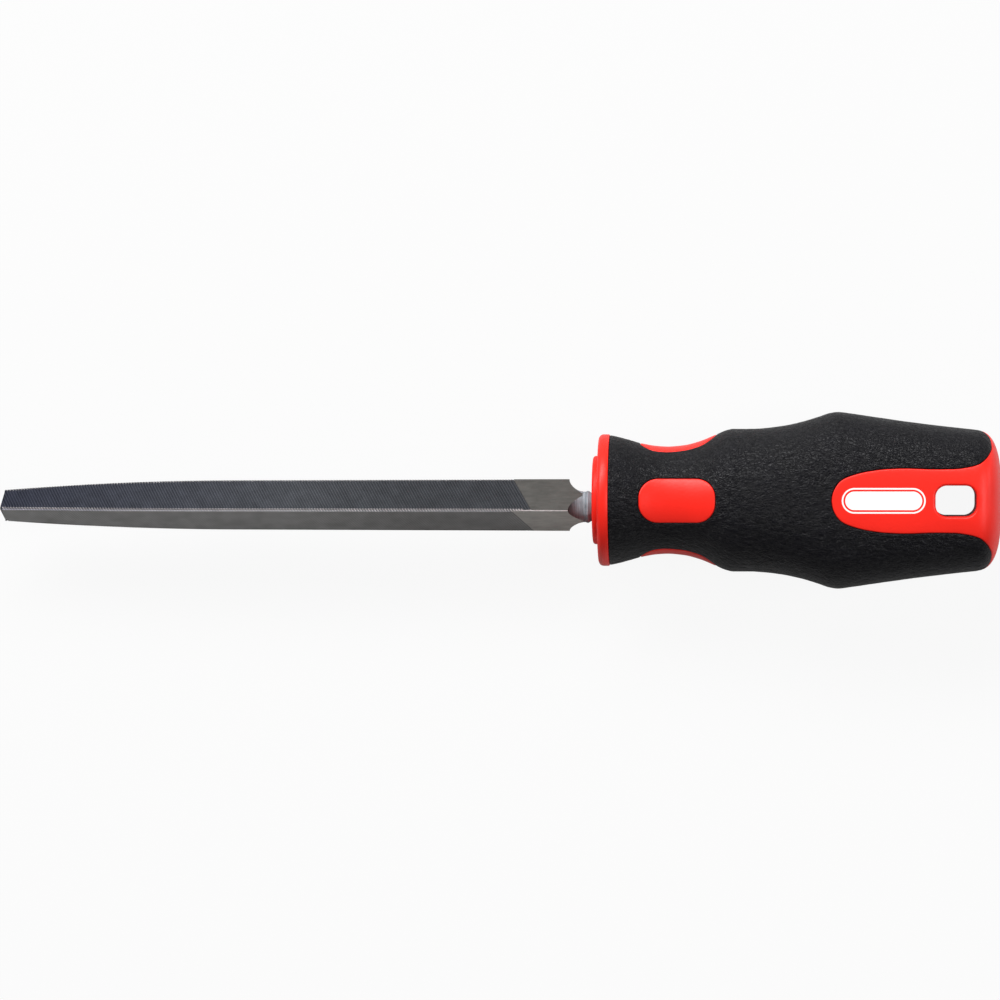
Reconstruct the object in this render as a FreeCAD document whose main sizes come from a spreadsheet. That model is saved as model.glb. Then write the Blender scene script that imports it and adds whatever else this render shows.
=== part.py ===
import FreeCAD, Part
import os
import Sketcher

# A three-square hand file with a moulded two-colour handle, lying on a bench.
# X runs along the file from the tip (-X) to the hanging eye (+X), Z is up.
# Every piece is drawn about the handle's axis, with x = 0 on the flange's front face,
# and its Placement then sets the whole file on the bench with the origin below its middle.

SHEET = "Sizes"

# alias, millimetres (or degrees), what it is
SIZES = (
    ("blade_length", 150.0, "tip to shoulder"),
    ("blade_side", 14.1, "side of the triangle at the shoulder, to the sharp corners"),
    ("belly_side", 13.55, "side of the triangle where the taper begins"),
    ("tip_side", 8.65, "side of the triangle at the tip"),
    ("taper_length", 63.0, "length of the taper from the tip"),
    ("edge_land", 0.47, "width of the flat that is left along each corner"),
    ("blade_roll", 6.4, "degrees that the blade is turned about its own axis"),
    ("tang_offset", 1.8, "how far the tang sits to the -Y side of the handle's axis"),
    ("heel_gap", 7.95, "shoulder to the flange's front face"),
    ("scallop_radius", 4.0, "radius of the ground hollow behind the shoulder"),
    ("neck_radius", 4.1, "turned neck next to the shoulder"),
    ("mouth_radius", 3.55, "turned neck where it enters the handle"),
    ("neck_step", 3.4, "step in the neck to the flange's front face"),
    ("tang_length", 58.0, "flange's front face to the tang's end"),
    ("tang_root", 6.5, "eight-sided tang at the neck, across its flats"),
    ("tang_end", 4.0, "eight-sided tang at its end, across its flats"),
    ("notch_depth", 0.5, "depth of the tang's holding notches"),
    ("boss_length", 1.55, "how far the socket's boss stands out of the flange"),
    ("boss_radius", 11.7, "socket boss"),
    ("boss_edge", 0.6, "rounding of the boss"),
    ("boss_seat", 2.0, "depth of the boss's seat in the flange"),
    ("stem_radius", 9.0, "socket stem inside the handle"),
    ("stem_length", 62.0, "flange's front face to the stem's end"),
    ("key_depth", 1.0, "depth of the stem's key rings"),
    ("key_width", 4.0, "width of a key ring"),
    ("handle_length", 106.0, "flange's front face to the handle's end"),
    ("flange_radius", 17.4, "flange"),
    ("flange_thickness", 3.0, "flange"),
    ("flange_edge", 0.6, "rounding of the flange's front edge"),
    ("grip_front_radius", 17.1, "black grip where it meets the flange"),
    ("rest_height", 17.4, "handle's axis to its flat top and bottom"),
    ("flat_skim", 0.05, "planed off the top and the bottom to make them flat"),
    ("waist_place", 18.2, "flange's front face to the waist"),
    ("waist_radius", 14.1, "round waist"),
    ("ring_place", 35.2, "flange's front face to the ridge behind the waist"),
    ("ring_width", 18.9, "half width at that ridge"),
    ("belly_place", 63.7, "flange's front face to the widest place"),
    ("belly_width", 23.35, "half width there"),
    ("belly_flat", 9.6, "half width of the flats there"),
    ("end_width", 18.5, "half width where the end's rounding begins"),
    ("end_flat", 6.0, "half width of the flats there"),
    ("end_round", 4.8, "rounding of the handle's end"),
    ("grip_wall", 2.5, "thickness of the black grip"),
    ("lobe_end", 101.0, "flange's front face to the end of the black side lobes"),
    ("lobe_round", 2.5, "rounding where the rear panel flares into the end cap"),
    ("panel_place", 61.5, "flange's front face to the nose of the rear panel"),
    ("panel_nose", 7.0, "half width of the panel's nose, before it is rounded"),
    ("panel_round", 6.2, "rounding of the panel's nose"),
    ("panel_width", 8.5, "half width of the rear panel"),
    ("panel_run", 15.0, "nose to the place where the panel reaches its width"),
    ("pad_place", 20.9, "flange's front face to the middle of the thumb pads"),
    ("pad_length", 20.2, "thumb pad"),
    ("pad_width", 11.7, "thumb pad"),
    ("pad_round", 4.4, "corner radius of a thumb pad"),
    ("eye_place", 94.0, "flange's front face to the middle of the hanging eye"),
    ("eye_length", 10.75, "hanging eye"),
    ("eye_width", 8.2, "hanging eye"),
    ("eye_round", 3.0, "corner radius of the hanging eye"),
)

NOTCH_COUNT = 5
FIRST_NOTCH = 0.25
NOTCH_PITCH = 0.12
KEY_RING_SHARES = (0.35, 0.7)
TAPER_SHARES = (0.0, 0.2, 0.4, 0.6, 0.8, 1.0)
SWELL_SHARES = (0.0, 0.3, 0.55, 0.8, 1.0)
SWELL_POWER = 2.0
REAR_SHARES = (0.0, 0.4, 1.0)
REAR_POWER = 0.85
END_STEPS = 5
HEEL_REACH = 0.9
ROOT3 = 3 ** 0.5


def of(name):
    """A size of the sheet, as an expression."""
    return f"{SHEET}.{name}"


def between(start, end, share):
    """The expression that lies the given share of the way from start to end."""
    return f"({start} + ({end} - ({start})) * {share:.4f})"


def make_sheet(doc):
    sheet = doc.addObject("Spreadsheet::Sheet", SHEET)
    for row, (alias, value, meaning) in enumerate(SIZES, start=1):
        sheet.set(f"A{row}", alias)
        sheet.set(f"B{row}", str(value))
        sheet.set(f"C{row}", meaning)
        sheet.setAlias(f"B{row}", alias)
    doc.recompute()
    return sheet


def place_on_bench(piece):
    """Middle of the file over the origin, and the flats down on z = 0."""
    middle = f"({of('heel_gap')} + {of('blade_length')} - {of('handle_length')}) / 2"
    piece.setExpression("Placement.Base.x", middle)
    piece.setExpression("Placement.Base.z", of("rest_height"))


def plane_of(body, role):
    for feature in body.Origin.OriginFeatures:
        if feature.Role == role:
            return feature
    raise ValueError(role)


def new_sketch(body, name, role, station="0", side="0", turn="0"):
    """A sketch on one of the body's own planes, moved along its normal by station."""
    sketch = body.newObject("Sketcher::SketchObject", name)
    sketch.AttachmentSupport = [(plane_of(body, role), "")]
    sketch.MapMode = "FlatFace"
    sketch.setExpression("AttachmentOffset.Base.z", station)
    sketch.setExpression("AttachmentOffset.Base.x", side)
    sketch.setExpression("AttachmentOffset.Rotation.Angle", turn)
    return sketch


def draw(sketch, corners):
    """A closed outline whose corners are pairs of expressions bound to the sheet.

    A third item on a corner is the radius of an arc to the next corner, which turns left.
    """
    points = []
    for corner in corners:
        across_now = float(sketch.evalExpression(corner[0]))
        up_now = float(sketch.evalExpression(corner[1]))
        points.append(FreeCAD.Vector(across_now, up_now, 0))
    count = len(points)
    for index, corner in enumerate(corners):
        start, end = points[index], points[(index + 1) % count]
        if len(corner) == 2:
            sketch.addGeometry(Part.LineSegment(start, end), False)
        else:
            radius = float(sketch.evalExpression(corner[2]))
            sketch.addGeometry(arc_between(start, end, radius), False)
    for index, corner in enumerate(corners):
        following = (index + 1) % count
        sketch.addConstraint(Sketcher.Constraint("Coincident", index, 2, following, 1))
        bind(sketch, ("DistanceX", -1, 1, index, 1, points[index].x), corner[0])
        bind(sketch, ("DistanceY", -1, 1, index, 1, points[index].y), corner[1])
        if len(corner) > 2:
            bind(sketch, ("Radius", index, float(sketch.evalExpression(corner[2]))), corner[2])
    return sketch


def arc_between(start, end, radius):
    """The shorter arc from start to end, turning left."""
    chord = end - start
    middle = (start + end) * 0.5
    left = FreeCAD.Vector(-chord.y, chord.x, 0).normalize()
    height = max(radius ** 2 - (chord.Length / 2) ** 2, 0) ** 0.5
    centre = middle + left * height
    return Part.Arc(start, centre - left * radius, end)


def bind(sketch, constraint, expression):
    row = sketch.addConstraint(Sketcher.Constraint(*constraint))
    sketch.setExpression(f"Constraints[{row}]", expression)


def new_body(doc, name):
    body = doc.addObject("PartDesign::Body", name)
    body.Label = name
    return body


def loft(body, kind, name, sections, ruled=False):
    feature = body.newObject(f"PartDesign::{kind}", name)
    feature.Profile = (sections[0], [""])
    feature.Sections = [(section, [""]) for section in sections[1:]]
    feature.Ruled = ruled
    return feature


def spin(body, kind, name, sketch):
    """Turn the sketch once round the body's X axis, as added or removed metal."""
    feature = body.newObject(f"PartDesign::{kind}", name)
    feature.Profile = sketch
    feature.ReferenceAxis = (plane_of(body, "X_Axis"), [""])
    feature.Angle = 360
    return feature


def pad(body, name, sketch, length):
    feature = body.newObject("PartDesign::Pad", name)
    feature.Profile = sketch
    feature.SideType = "Symmetric"
    feature.setExpression("Length", length)
    return feature


def round_edges(body, name, base, chosen, radius):
    """Fillet the edges of the base feature for which chosen(edge) is true."""
    body.Document.recompute()
    names = []
    for index, edge in enumerate(base.Shape.Edges, start=1):
        if chosen(edge):
            names.append(f"Edge{index}")
    fillet = body.newObject("PartDesign::Fillet", name)
    fillet.Base = (base, names)
    fillet.setExpression("Radius", radius)
    return fillet


def is_upright(edge):
    """True for a straight edge along Z."""
    if not isinstance(edge.Curve, Part.Line):
        return False
    return abs(edge.tangentAt(edge.FirstParameter).z) > 0.99


# ---------------------------------------------------------------- file blade

def three_square(side):
    """Triangle with one corner up and a narrow land across each corner."""
    land = of("edge_land")
    low = f"(-{side} * {ROOT3 / 6:.6f})"
    rise = f"({low} + {land} * {ROOT3 / 2:.6f})"
    top = f"({side} * {ROOT3 / 3:.6f} - {land} * {ROOT3 / 2:.6f})"
    return (
        (f"-({side} / 2 - {land})", low),
        (f"{side} / 2 - {land}", low),
        (f"{side} / 2 - {land} / 2", rise),
        (f"{land} / 2", top),
        (f"-{land} / 2", top),
        (f"-({side} / 2 - {land} / 2)", rise),
    )


def octagon(across_flats):
    half = f"{across_flats} / 2"
    step = f"{across_flats} * {(2 ** 0.5 - 1) / 2:.6f}"
    return (
        (f"-{step}", f"-{half}"), (step, f"-{half}"), (half, f"-{step}"), (half, step),
        (step, half), (f"-{step}", half), (f"-{half}", step), (f"-{half}", f"-{step}"),
    )


def taper_sections(body):
    """Sections from the tip to the full triangle: the side grows along a parabola."""
    tip = f"(-{of('heel_gap')} - {of('blade_length')})"
    sections = []
    for number, share in enumerate(TAPER_SHARES):
        station = f"{tip} + {of('taper_length')} * {share}"
        side = between(of("tip_side"), of("belly_side"), share * (2 - share))
        sketch = new_sketch(body, f"TaperSection{number}", "YZ_Plane", station)
        sections.append(draw(sketch, three_square(side)))
    return sections


def heel_sections(body):
    """From the end of the taper to the inner end of the hollow behind the shoulder."""
    start = f"(-{of('heel_gap')} - {of('blade_length')} + {of('taper_length')})"
    end = f"(-{of('heel_gap')} + {of('scallop_radius')} * {HEEL_REACH})"
    first = new_sketch(body, "HeelSection0", "YZ_Plane", start)
    draw(first, three_square(of("belly_side")))
    last = new_sketch(body, "HeelSection1", "YZ_Plane", end)
    draw(last, three_square(of("blade_side")))
    return [first, last]


def cut_scallop(body):
    """Hollow ground all round behind the shoulder, down to the neck's radius."""
    shoulder = f"(-{of('heel_gap')})"
    radius = of("scallop_radius")
    neck = of("neck_radius")
    reach = f"({shoulder} + {radius})"
    behind = f"({reach} + {radius} / 2)"
    outside = of("blade_side")
    corners = (
        (behind, outside), (shoulder, outside), (shoulder, f"{neck} + {radius}", radius),
        (reach, neck), (behind, neck),
    )
    profile = new_sketch(body, "ScallopProfile", "XZ_Plane")
    draw(profile, corners)
    return spin(body, "Groove", "Scallop", profile)


def add_neck(body):
    """Turned neck with one step, up to the root of the tang."""
    start = f"(-{of('heel_gap')} + {of('scallop_radius')} / 2)"
    step = f"(-{of('neck_step')})"
    corners = (
        (start, "0"),
        (start, of("neck_radius")),
        (step, of("neck_radius")),
        (f"{step} + {of('neck_radius')} - {of('mouth_radius')}", of("mouth_radius")),
        (of("boss_seat"), of("mouth_radius")),
        (of("boss_seat"), "0"),
    )
    profile = new_sketch(body, "NeckProfile", "XZ_Plane")
    draw(profile, corners)
    return spin(body, "Revolution", "Neck", profile)


def tang_sections(body, side="0", turn="0"):
    """Both ends of the tang's taper, also used for the space that it fills in its socket."""
    ends = ((f"{of('boss_seat')} / 2", of("tang_root")), (of("tang_length"), of("tang_end")))
    sections = []
    for number, (station, across_flats) in enumerate(ends):
        sketch = new_sketch(body, f"TangSection{number}", "YZ_Plane", station, side, turn)
        sections.append(draw(sketch, octagon(across_flats)))
    return sections


def cut_notches(body):
    """Holding notches across the top of the tang."""
    above = of("tang_root")
    for number in range(NOTCH_COUNT):
        share = FIRST_NOTCH + NOTCH_PITCH * number
        top = f"({between(of('tang_root'), of('tang_end'), share)} / 2)"
        place = f"({of('tang_length')} * {share:.2f})"
        corners = (
            (place, f"{top} - {of('notch_depth')}"),
            (f"{place} + {of('notch_depth')} * 3", above),
            (place, above),
        )
        profile = new_sketch(body, f"NotchProfile{number}", "XZ_Plane")
        draw(profile, corners)
        notch = body.newObject("PartDesign::Pocket", f"Notch{number}")
        notch.Profile = profile
        notch.SideType = "Symmetric"
        notch.setExpression("Length", f"{of('tang_root')} * 2")


def build_file_blade(doc):
    body = new_body(doc, "file_blade")
    loft(body, "AdditiveLoft", "Taper", taper_sections(body))
    loft(body, "AdditiveLoft", "Heel", heel_sections(body), ruled=True)
    cut_scallop(body)
    add_neck(body)
    loft(body, "AdditiveLoft", "Tang", tang_sections(body), ruled=True)
    cut_notches(body)
    place_on_bench(body)
    body.setExpression("Placement.Base.y", f"-{of('tang_offset')}")
    body.Placement.Rotation = FreeCAD.Rotation(FreeCAD.Vector(1, 0, 0), 1)
    body.setExpression("Placement.Rotation.Angle", of("blade_roll"))
    return body


# ---------------------------------------------------------------- tang socket

def socket_outline():
    """Half section of the socket: boss, stem and two key rings that lock it in the core."""
    front = f"(-{of('boss_length')})"
    stem = of("stem_radius")
    corners = [(front, "0"), (front, of("boss_radius")), (of("boss_seat"), of("boss_radius")),
               (of("boss_seat"), stem)]
    for share in KEY_RING_SHARES:
        start = f"({of('stem_length')} * {share})"
        low = f"{stem} - {of('key_depth')}"
        corners.append((start, stem))
        corners.append((start, low))
        corners.append((f"{start} + {of('key_width')}", low))
        corners.append((f"{start} + {of('key_width')}", stem))
    corners.append((of("stem_length"), stem))
    corners.append((of("stem_length"), "0"))
    return corners


def spin_socket(body):
    profile = new_sketch(body, "SocketProfile", "XZ_Plane")
    draw(profile, socket_outline())
    return spin(body, "Revolution", "SocketTurn", profile)


def build_tang_socket(doc):
    body = new_body(doc, "tang_socket")
    turned = spin_socket(body)
    front = -read(doc, "boss_length")
    radius = read(doc, "boss_radius")

    def is_front_rim(edge):
        box = edge.BoundBox
        return abs(box.XMax - front) < 0.001 and abs(box.ZMax - radius) < 0.001

    round_edges(body, "BossEdge", turned, is_front_rim, of("boss_edge"))
    side = f"-{of('tang_offset')}"
    hole = tang_sections(body, side, of("blade_roll"))
    loft(body, "SubtractiveLoft", "TangHole", hole, ruled=True)
    mouth = new_sketch(body, "MouthProfile", "YZ_Plane", f"-{of('boss_length')}", side)
    mouth.addGeometry(Part.Circle(FreeCAD.Vector(0, 0, 0), FreeCAD.Vector(0, 0, 1), 3), False)
    mouth.addConstraint(Sketcher.Constraint("Coincident", 0, 3, -1, 1))
    row = mouth.addConstraint(Sketcher.Constraint("Radius", 0, 3))
    mouth.setExpression(f"Constraints[{row}]", of("mouth_radius"))
    pocket = body.newObject("PartDesign::Pocket", "Mouth")
    pocket.Profile = mouth
    pocket.Reversed = True
    pocket.setExpression("Length", f"{of('boss_length')} + {of('boss_seat')}")
    place_on_bench(body)
    return body


def build_socket_space(doc):
    body = new_body(doc, "socket_space")
    spin_socket(body)
    return body


# ---------------------------------------------------------------- handle

def circle_flat(radius, height):
    """Half width of the flat where a circle is cut at a height."""
    return f"sqrt({radius} ^ 2 - {height} ^ 2)"


def oval(width, flat, height):
    """Flat top and bottom with one arc on each side."""
    rise = f"({width} - {flat})"
    radius = f"(({rise} ^ 2 + {height} ^ 2) / (2 * {rise}))"
    return (
        (flat, f"-{height}", radius),
        (flat, height),
        (f"-{flat}", height, radius),
        (f"-{flat}", f"-{height}"),
    )


def waist_outline(inset):
    """Half section of the round front: two arcs that meet at the waist."""
    front = f"({of('grip_front_radius')} - {inset})"
    waist = f"({of('waist_radius')} - {inset})"
    ring = f"({of('ring_width')} - {inset})"
    before = f"({of('waist_place')} - {of('flange_thickness')})"
    after = f"({of('ring_place')} - {of('waist_place')})"
    front_arc = f"(({before} ^ 2 + ({front} - {waist}) ^ 2) / (2 * ({front} - {waist})))"
    ring_arc = f"(({after} ^ 2 + ({ring} - {waist}) ^ 2) / (2 * ({ring} - {waist})))"
    return (
        (of("flange_thickness"), "0"),
        (of("flange_thickness"), front, front_arc),
        (of("waist_place"), waist, ring_arc),
        (of("ring_place"), ring),
        (of("ring_place"), "0"),
    )


def plane_flats(body, inset):
    """Plane the top and the bottom flat from end to end."""
    height = f"({of('rest_height')} - {inset})"
    far = f"({of('rest_height')} * 2)"
    for side, sign in (("Top", ""), ("Bottom", "-")):
        corners = (
            ("0", f"{sign}{height}"), (of("handle_length"), f"{sign}{height}"),
            (of("handle_length"), f"{sign}{far}"), ("0", f"{sign}{far}"),
        )
        profile = draw(new_sketch(body, f"{body.Name}{side}Profile", "XZ_Plane"), corners)
        pocket = body.newObject("PartDesign::Pocket", f"{body.Name}{side}")
        pocket.Profile = profile
        pocket.SideType = "Symmetric"
        pocket.setExpression("Length", f"{of('belly_width')} * 4")


def oval_section(body, name, place, width, flat, height):
    return draw(new_sketch(body, name, "YZ_Plane", place), oval(width, flat, height))


def build_form(doc, name, inset, end_place):
    """The handle's body behind the flange, or its core one wall further in."""
    body = new_body(doc, name)
    height = f"({of('rest_height')} + {of('flat_skim')} - {inset})"
    ring = f"({of('ring_width')} - {inset})"
    belly = f"({of('belly_width')} - {inset})"
    end = f"({of('end_width')} - {inset})"
    ring_flat = circle_flat(ring, height)
    spin(body, "Revolution", f"{name}Waist", draw(
        new_sketch(body, f"{name}WaistProfile", "XZ_Plane"), waist_outline(inset)))
    swell = []
    for number, share in enumerate(SWELL_SHARES):
        grown = share ** SWELL_POWER
        swell.append(oval_section(
            body, f"{name}Swell{number}", between(of("ring_place"), of("belly_place"), share),
            between(ring, belly, grown), between(ring_flat, of("belly_flat"), grown), height))
    loft(body, "AdditiveLoft", f"{name}Belly", swell, ruled=True)
    rear = []
    for number, share in enumerate(REAR_SHARES):
        grown = share ** REAR_POWER
        rear.append(oval_section(
            body, f"{name}Rear{number}", between(of("belly_place"), end_place, share),
            between(belly, end, grown), between(of("belly_flat"), of("end_flat"), grown), height))
    loft(body, "AdditiveLoft", f"{name}Rear", rear, ruled=True)
    return body


def add_rounded_end(body):
    """Quarter-round end behind the taper."""
    reach = of("end_round")
    start = f"({of('handle_length')} - {reach})"
    sections = []
    for number in range(END_STEPS + 1):
        turn = f"({90 * number / END_STEPS})"
        inset = f"({reach} * (1 - cos({turn})))"
        sections.append(oval_section(
            body, f"EndSection{number}", f"{start} + {reach} * sin({turn})",
            f"({of('end_width')} - {inset})", of("end_flat"),
            f"({of('rest_height')} + {of('flat_skim')} - {inset})"))
    loft(body, "AdditiveLoft", "RoundedEnd", sections, ruled=True)


def build_outer_form(doc):
    """Outside of the handle behind the flange, black and red together."""
    start_of_end = f"({of('handle_length')} - {of('end_round')})"
    body = build_form(doc, "OuterForm", "0", start_of_end)
    add_rounded_end(body)
    plane_flats(body, "0")
    return body


def build_inner_form(doc):
    """The core under the black grip: the same outline, one grip wall further in."""
    body = build_form(doc, "InnerForm", of("grip_wall"), of("lobe_end"))
    plane_flats(body, of("grip_wall"))
    return body


def build_pad_windows(doc):
    """Two rounded bars through the waist, one upright and one level: four windows."""
    bars = []
    for name, role in (("UprightBar", "XY_Plane"), ("LevelBar", "XZ_Plane")):
        body = new_body(doc, name)
        half_length = f"{of('pad_length')} / 2"
        half_width = f"{of('pad_width')} / 2"
        corners = (
            (f"{of('pad_place')} - {half_length}", f"-{half_width}"),
            (f"{of('pad_place')} + {half_length}", f"-{half_width}"),
            (f"{of('pad_place')} + {half_length}", half_width),
            (f"{of('pad_place')} - {half_length}", half_width),
        )
        profile = draw(new_sketch(body, f"{name}Profile", role), corners)
        bar = pad(body, f"{name}Pad", profile, f"{of('flange_radius')} * 4")

        def is_long(edge):
            return edge.Length > read(doc, "flange_radius") * 2

        round_edges(body, f"{name}Round", bar, is_long, of("pad_round"))
        bars.append(body)
    return bars


def build_rear_panel(doc):
    """The red rear panels, through from top to bottom, and the end cap behind the lobes."""
    body = new_body(doc, "RearPanel")
    nose = of("panel_place")
    full = f"({nose} + {of('panel_run')})"
    flare = of("lobe_end")
    far = f"({of('handle_length')} * 2)"
    out = f"({of('belly_width')} * 2)"
    half = of("panel_width")
    tip = of("panel_nose")
    corners = (
        (nose, f"-{tip}"), (full, f"-{half}"), (flare, f"-{half}"), (flare, f"-{out}"),
        (far, f"-{out}"), (far, out), (flare, out), (flare, half), (full, half), (nose, tip),
    )
    profile = draw(new_sketch(body, "RearPanelProfile", "XY_Plane"), corners)
    block = pad(body, "RearPanelPad", profile, f"{of('rest_height')} * 4")
    nose_now = read(doc, "panel_place")
    flare_now = read(doc, "lobe_end")
    half_now = read(doc, "panel_width")

    def is_nose(edge):
        return is_upright(edge) and abs(edge.BoundBox.XMax - nose_now) < 0.001

    def is_flare(edge):
        if not is_upright(edge):
            return False
        at_flare = abs(edge.BoundBox.XMax - flare_now) < 0.001
        return at_flare and abs(abs(edge.BoundBox.YMax) - half_now) < 0.001

    rounded = round_edges(body, "NoseRound", block, is_nose, of("panel_round"))
    round_edges(body, "FlareRound", rounded, is_flare, of("lobe_round"))
    return body


def build_flange(doc):
    body = new_body(doc, "Flange")
    corners = (
        ("0", "0"), ("0", of("flange_radius")),
        (of("flange_thickness"), of("flange_radius")), (of("flange_thickness"), "0"),
    )
    profile = draw(new_sketch(body, "FlangeProfile", "XZ_Plane"), corners)
    disc = spin(body, "Revolution", "FlangeTurn", profile)

    def is_front_rim(edge):
        box = edge.BoundBox
        return box.XMax < 0.001 and box.ZMax > read(doc, "flange_radius") - 0.001

    round_edges(body, "FlangeEdge", disc, is_front_rim, of("flange_edge"))
    return body


def build_eye(doc):
    """The space of the hanging eye, through from top to bottom."""
    body = new_body(doc, "EyeSpace")
    half_length = f"{of('eye_length')} / 2"
    half_width = f"{of('eye_width')} / 2"
    corners = (
        (f"{of('eye_place')} - {half_length}", f"-{half_width}"),
        (f"{of('eye_place')} + {half_length}", f"-{half_width}"),
        (f"{of('eye_place')} + {half_length}", half_width),
        (f"{of('eye_place')} - {half_length}", half_width),
    )
    profile = draw(new_sketch(body, "EyeProfile", "XY_Plane"), corners)
    block = pad(body, "EyePad", profile, f"{of('rest_height')} * 4")
    round_edges(body, "EyeRound", block, is_upright, of("eye_round"))
    return body


def fuse(doc, name, pieces):
    joined = doc.addObject("Part::MultiFuse", name)
    joined.Shapes = pieces
    return joined


def boolean(doc, kind, name, base, tool):
    result = doc.addObject(f"Part::{kind}", name)
    result.Label = name
    result.Base = base
    result.Tool = tool
    return result


def cut_each(doc, name, base, tools):
    """The base with one tool after another taken away from it."""
    left = base
    for number, tool in enumerate(tools, start=1):
        step = name if number == len(tools) else f"{name}Step{number}"
        left = boolean(doc, "Cut", step, left, tool)
    return left


def build_handle(doc):
    """The red core and the black grip, which meet face to face."""
    outer = build_outer_form(doc)
    inner = build_inner_form(doc)
    openings = build_pad_windows(doc) + [build_rear_panel(doc)]
    islands = []
    for opening in openings:
        islands.append(boolean(doc, "Common", f"{opening.Name}Island", outer, opening))
    blank = fuse(doc, "CoreBlank", [build_flange(doc), inner] + islands)
    core = cut_each(doc, "handle_core", blank, [build_socket_space(doc), build_eye(doc)])
    grip = cut_each(doc, "grip_overmould", outer, openings + [inner])
    place_on_bench(core)
    place_on_bench(grip)
    return [core, grip]


# ---------------------------------------------------------------- document

def read(doc, name):
    """The present value of a size."""
    return float(doc.getObject(SHEET).get(name))


def check(doc, pieces):
    for item in doc.Objects:
        if "Invalid" in item.State or "Error" in item.State:
            raise RuntimeError(f"{item.Name} failed: {item.State}")
    for piece in pieces:
        if piece.Shape.isNull() or not piece.Shape.isValid():
            raise RuntimeError(f"{piece.Label} has no valid shape")
        if len(piece.Shape.Solids) != 1:
            raise RuntimeError(f"{piece.Label} has {len(piece.Shape.Solids)} solids")


def report(pieces):
    for piece in pieces:
        box = piece.Shape.optimalBoundingBox(False, False)
        centre = piece.Shape.Solids[0].CenterOfMass
        print(f"{piece.Label}: {piece.Shape.Volume:.0f} mm3, centre x {centre.x:.1f}, "
              f"x {box.XMin:.2f}..{box.XMax:.2f}, y {box.YMin:.2f}..{box.YMax:.2f}, "
              f"z {box.ZMin:.2f}..{box.ZMax:.2f}")


def main():
    doc = FreeCAD.newDocument("HandFile")
    make_sheet(doc)
    pieces = [build_file_blade(doc), build_tang_socket(doc)] + build_handle(doc)
    doc.recompute()
    check(doc, pieces)
    os.makedirs("parts", exist_ok=True)
    for piece in pieces:
        piece.Shape.exportStep(f"parts/{piece.Label}.step")
    report(pieces)


main()
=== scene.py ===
import math

import bmesh
import bpy
import numpy as np
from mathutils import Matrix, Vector, kdtree, noise
from mathutils.geometry import delaunay_2d_cdt


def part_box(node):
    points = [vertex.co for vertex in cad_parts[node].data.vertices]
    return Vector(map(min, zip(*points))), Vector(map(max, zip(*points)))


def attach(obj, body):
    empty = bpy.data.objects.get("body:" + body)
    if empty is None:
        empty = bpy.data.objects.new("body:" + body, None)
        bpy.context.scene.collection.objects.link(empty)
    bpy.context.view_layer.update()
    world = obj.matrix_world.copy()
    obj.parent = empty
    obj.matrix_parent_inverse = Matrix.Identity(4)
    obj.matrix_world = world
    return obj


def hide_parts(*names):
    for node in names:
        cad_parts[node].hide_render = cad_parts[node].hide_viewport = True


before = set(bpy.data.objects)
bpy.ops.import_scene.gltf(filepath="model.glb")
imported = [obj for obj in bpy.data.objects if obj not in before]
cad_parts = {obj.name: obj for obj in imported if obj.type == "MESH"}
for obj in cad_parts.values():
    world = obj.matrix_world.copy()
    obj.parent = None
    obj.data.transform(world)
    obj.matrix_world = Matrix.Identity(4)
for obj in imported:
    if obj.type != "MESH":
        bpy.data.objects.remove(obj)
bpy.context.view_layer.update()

bl_info = {
    "name": "Three-Square Hand File",
    "version": (1, 0, 0),
    "blender": (4, 5, 0),
    "location": "3D View > Sidebar > Hand File",
    "description": "A three-square hand file with cut teeth and a two-colour moulded handle",
    "category": "Add Mesh",
}

# The shape functions work in millimetres about the handle's axis: u runs from the flange's
# front face towards the hanging eye, y to the side and z up. The frame gives their place.

MM = 0.001
CORE_LOW, CORE_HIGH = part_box("handle_core")
GRIP_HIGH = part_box("grip_overmould")[1]
BLADE_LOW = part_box("file_blade")[0]
FRONT = CORE_LOW.x / MM
AXIS = (CORE_LOW.z + CORE_HIGH.z) / 2 / MM
HANDLE_LENGTH = (CORE_HIGH.x - CORE_LOW.x) / MM
BELLY_HALF = GRIP_HIGH.y / MM
FLAT_HALF = (CORE_HIGH.z - CORE_LOW.z) / 2 / MM
TIP = BLADE_LOW.x / MM - FRONT

# Half width, half height and squareness of the handle's section at places behind the flange.
ROUND_FRONT = (
    (2.85, 17.2), (5.4, 16.65), (8.0, 15.95), (11.5, 14.95), (15.0, 14.3), (18.2, 14.1),
)
HALF_WIDTHS = ROUND_FRONT + (
    (22.4, 14.45), (26.6, 15.5), (30.9, 17.3), (33.4, 18.4), (35.6, 18.85), (40.0, 18.85),
    (45.7, 19.25), (52.1, 20.35), (58.0, 22.05), (60.9, 23.0), (63.1, BELLY_HALF - 0.05),
    (66.2, 22.95), (72.0, 22.1), (86.0, 20.15), (98.7, 18.7), (HANDLE_LENGTH, 17.9),
)
HALF_HEIGHTS = ROUND_FRONT + (
    (22.4, 14.4), (26.6, 15.3), (30.9, 16.6), (36.0, FLAT_HALF), (96.0, FLAT_HALF),
    (HANDLE_LENGTH, 17.0),
)
SQUARENESS = ((2.85, 2.0), (26.0, 2.0), (38.0, 2.25), (62.0, 2.55), (80.0, 2.75), (106.0, 2.8))
END_START = 98.7
END_POWER = 3.0
SEAM_TURN = math.radians(45)

# The skin is unrolled to a plane of distance along it and turn times this radius.
UNROLL = 18.0
FULL_ROUND = 2 * math.pi * UNROLL


# ------------------------------------------------------------------ curves and outlines

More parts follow.
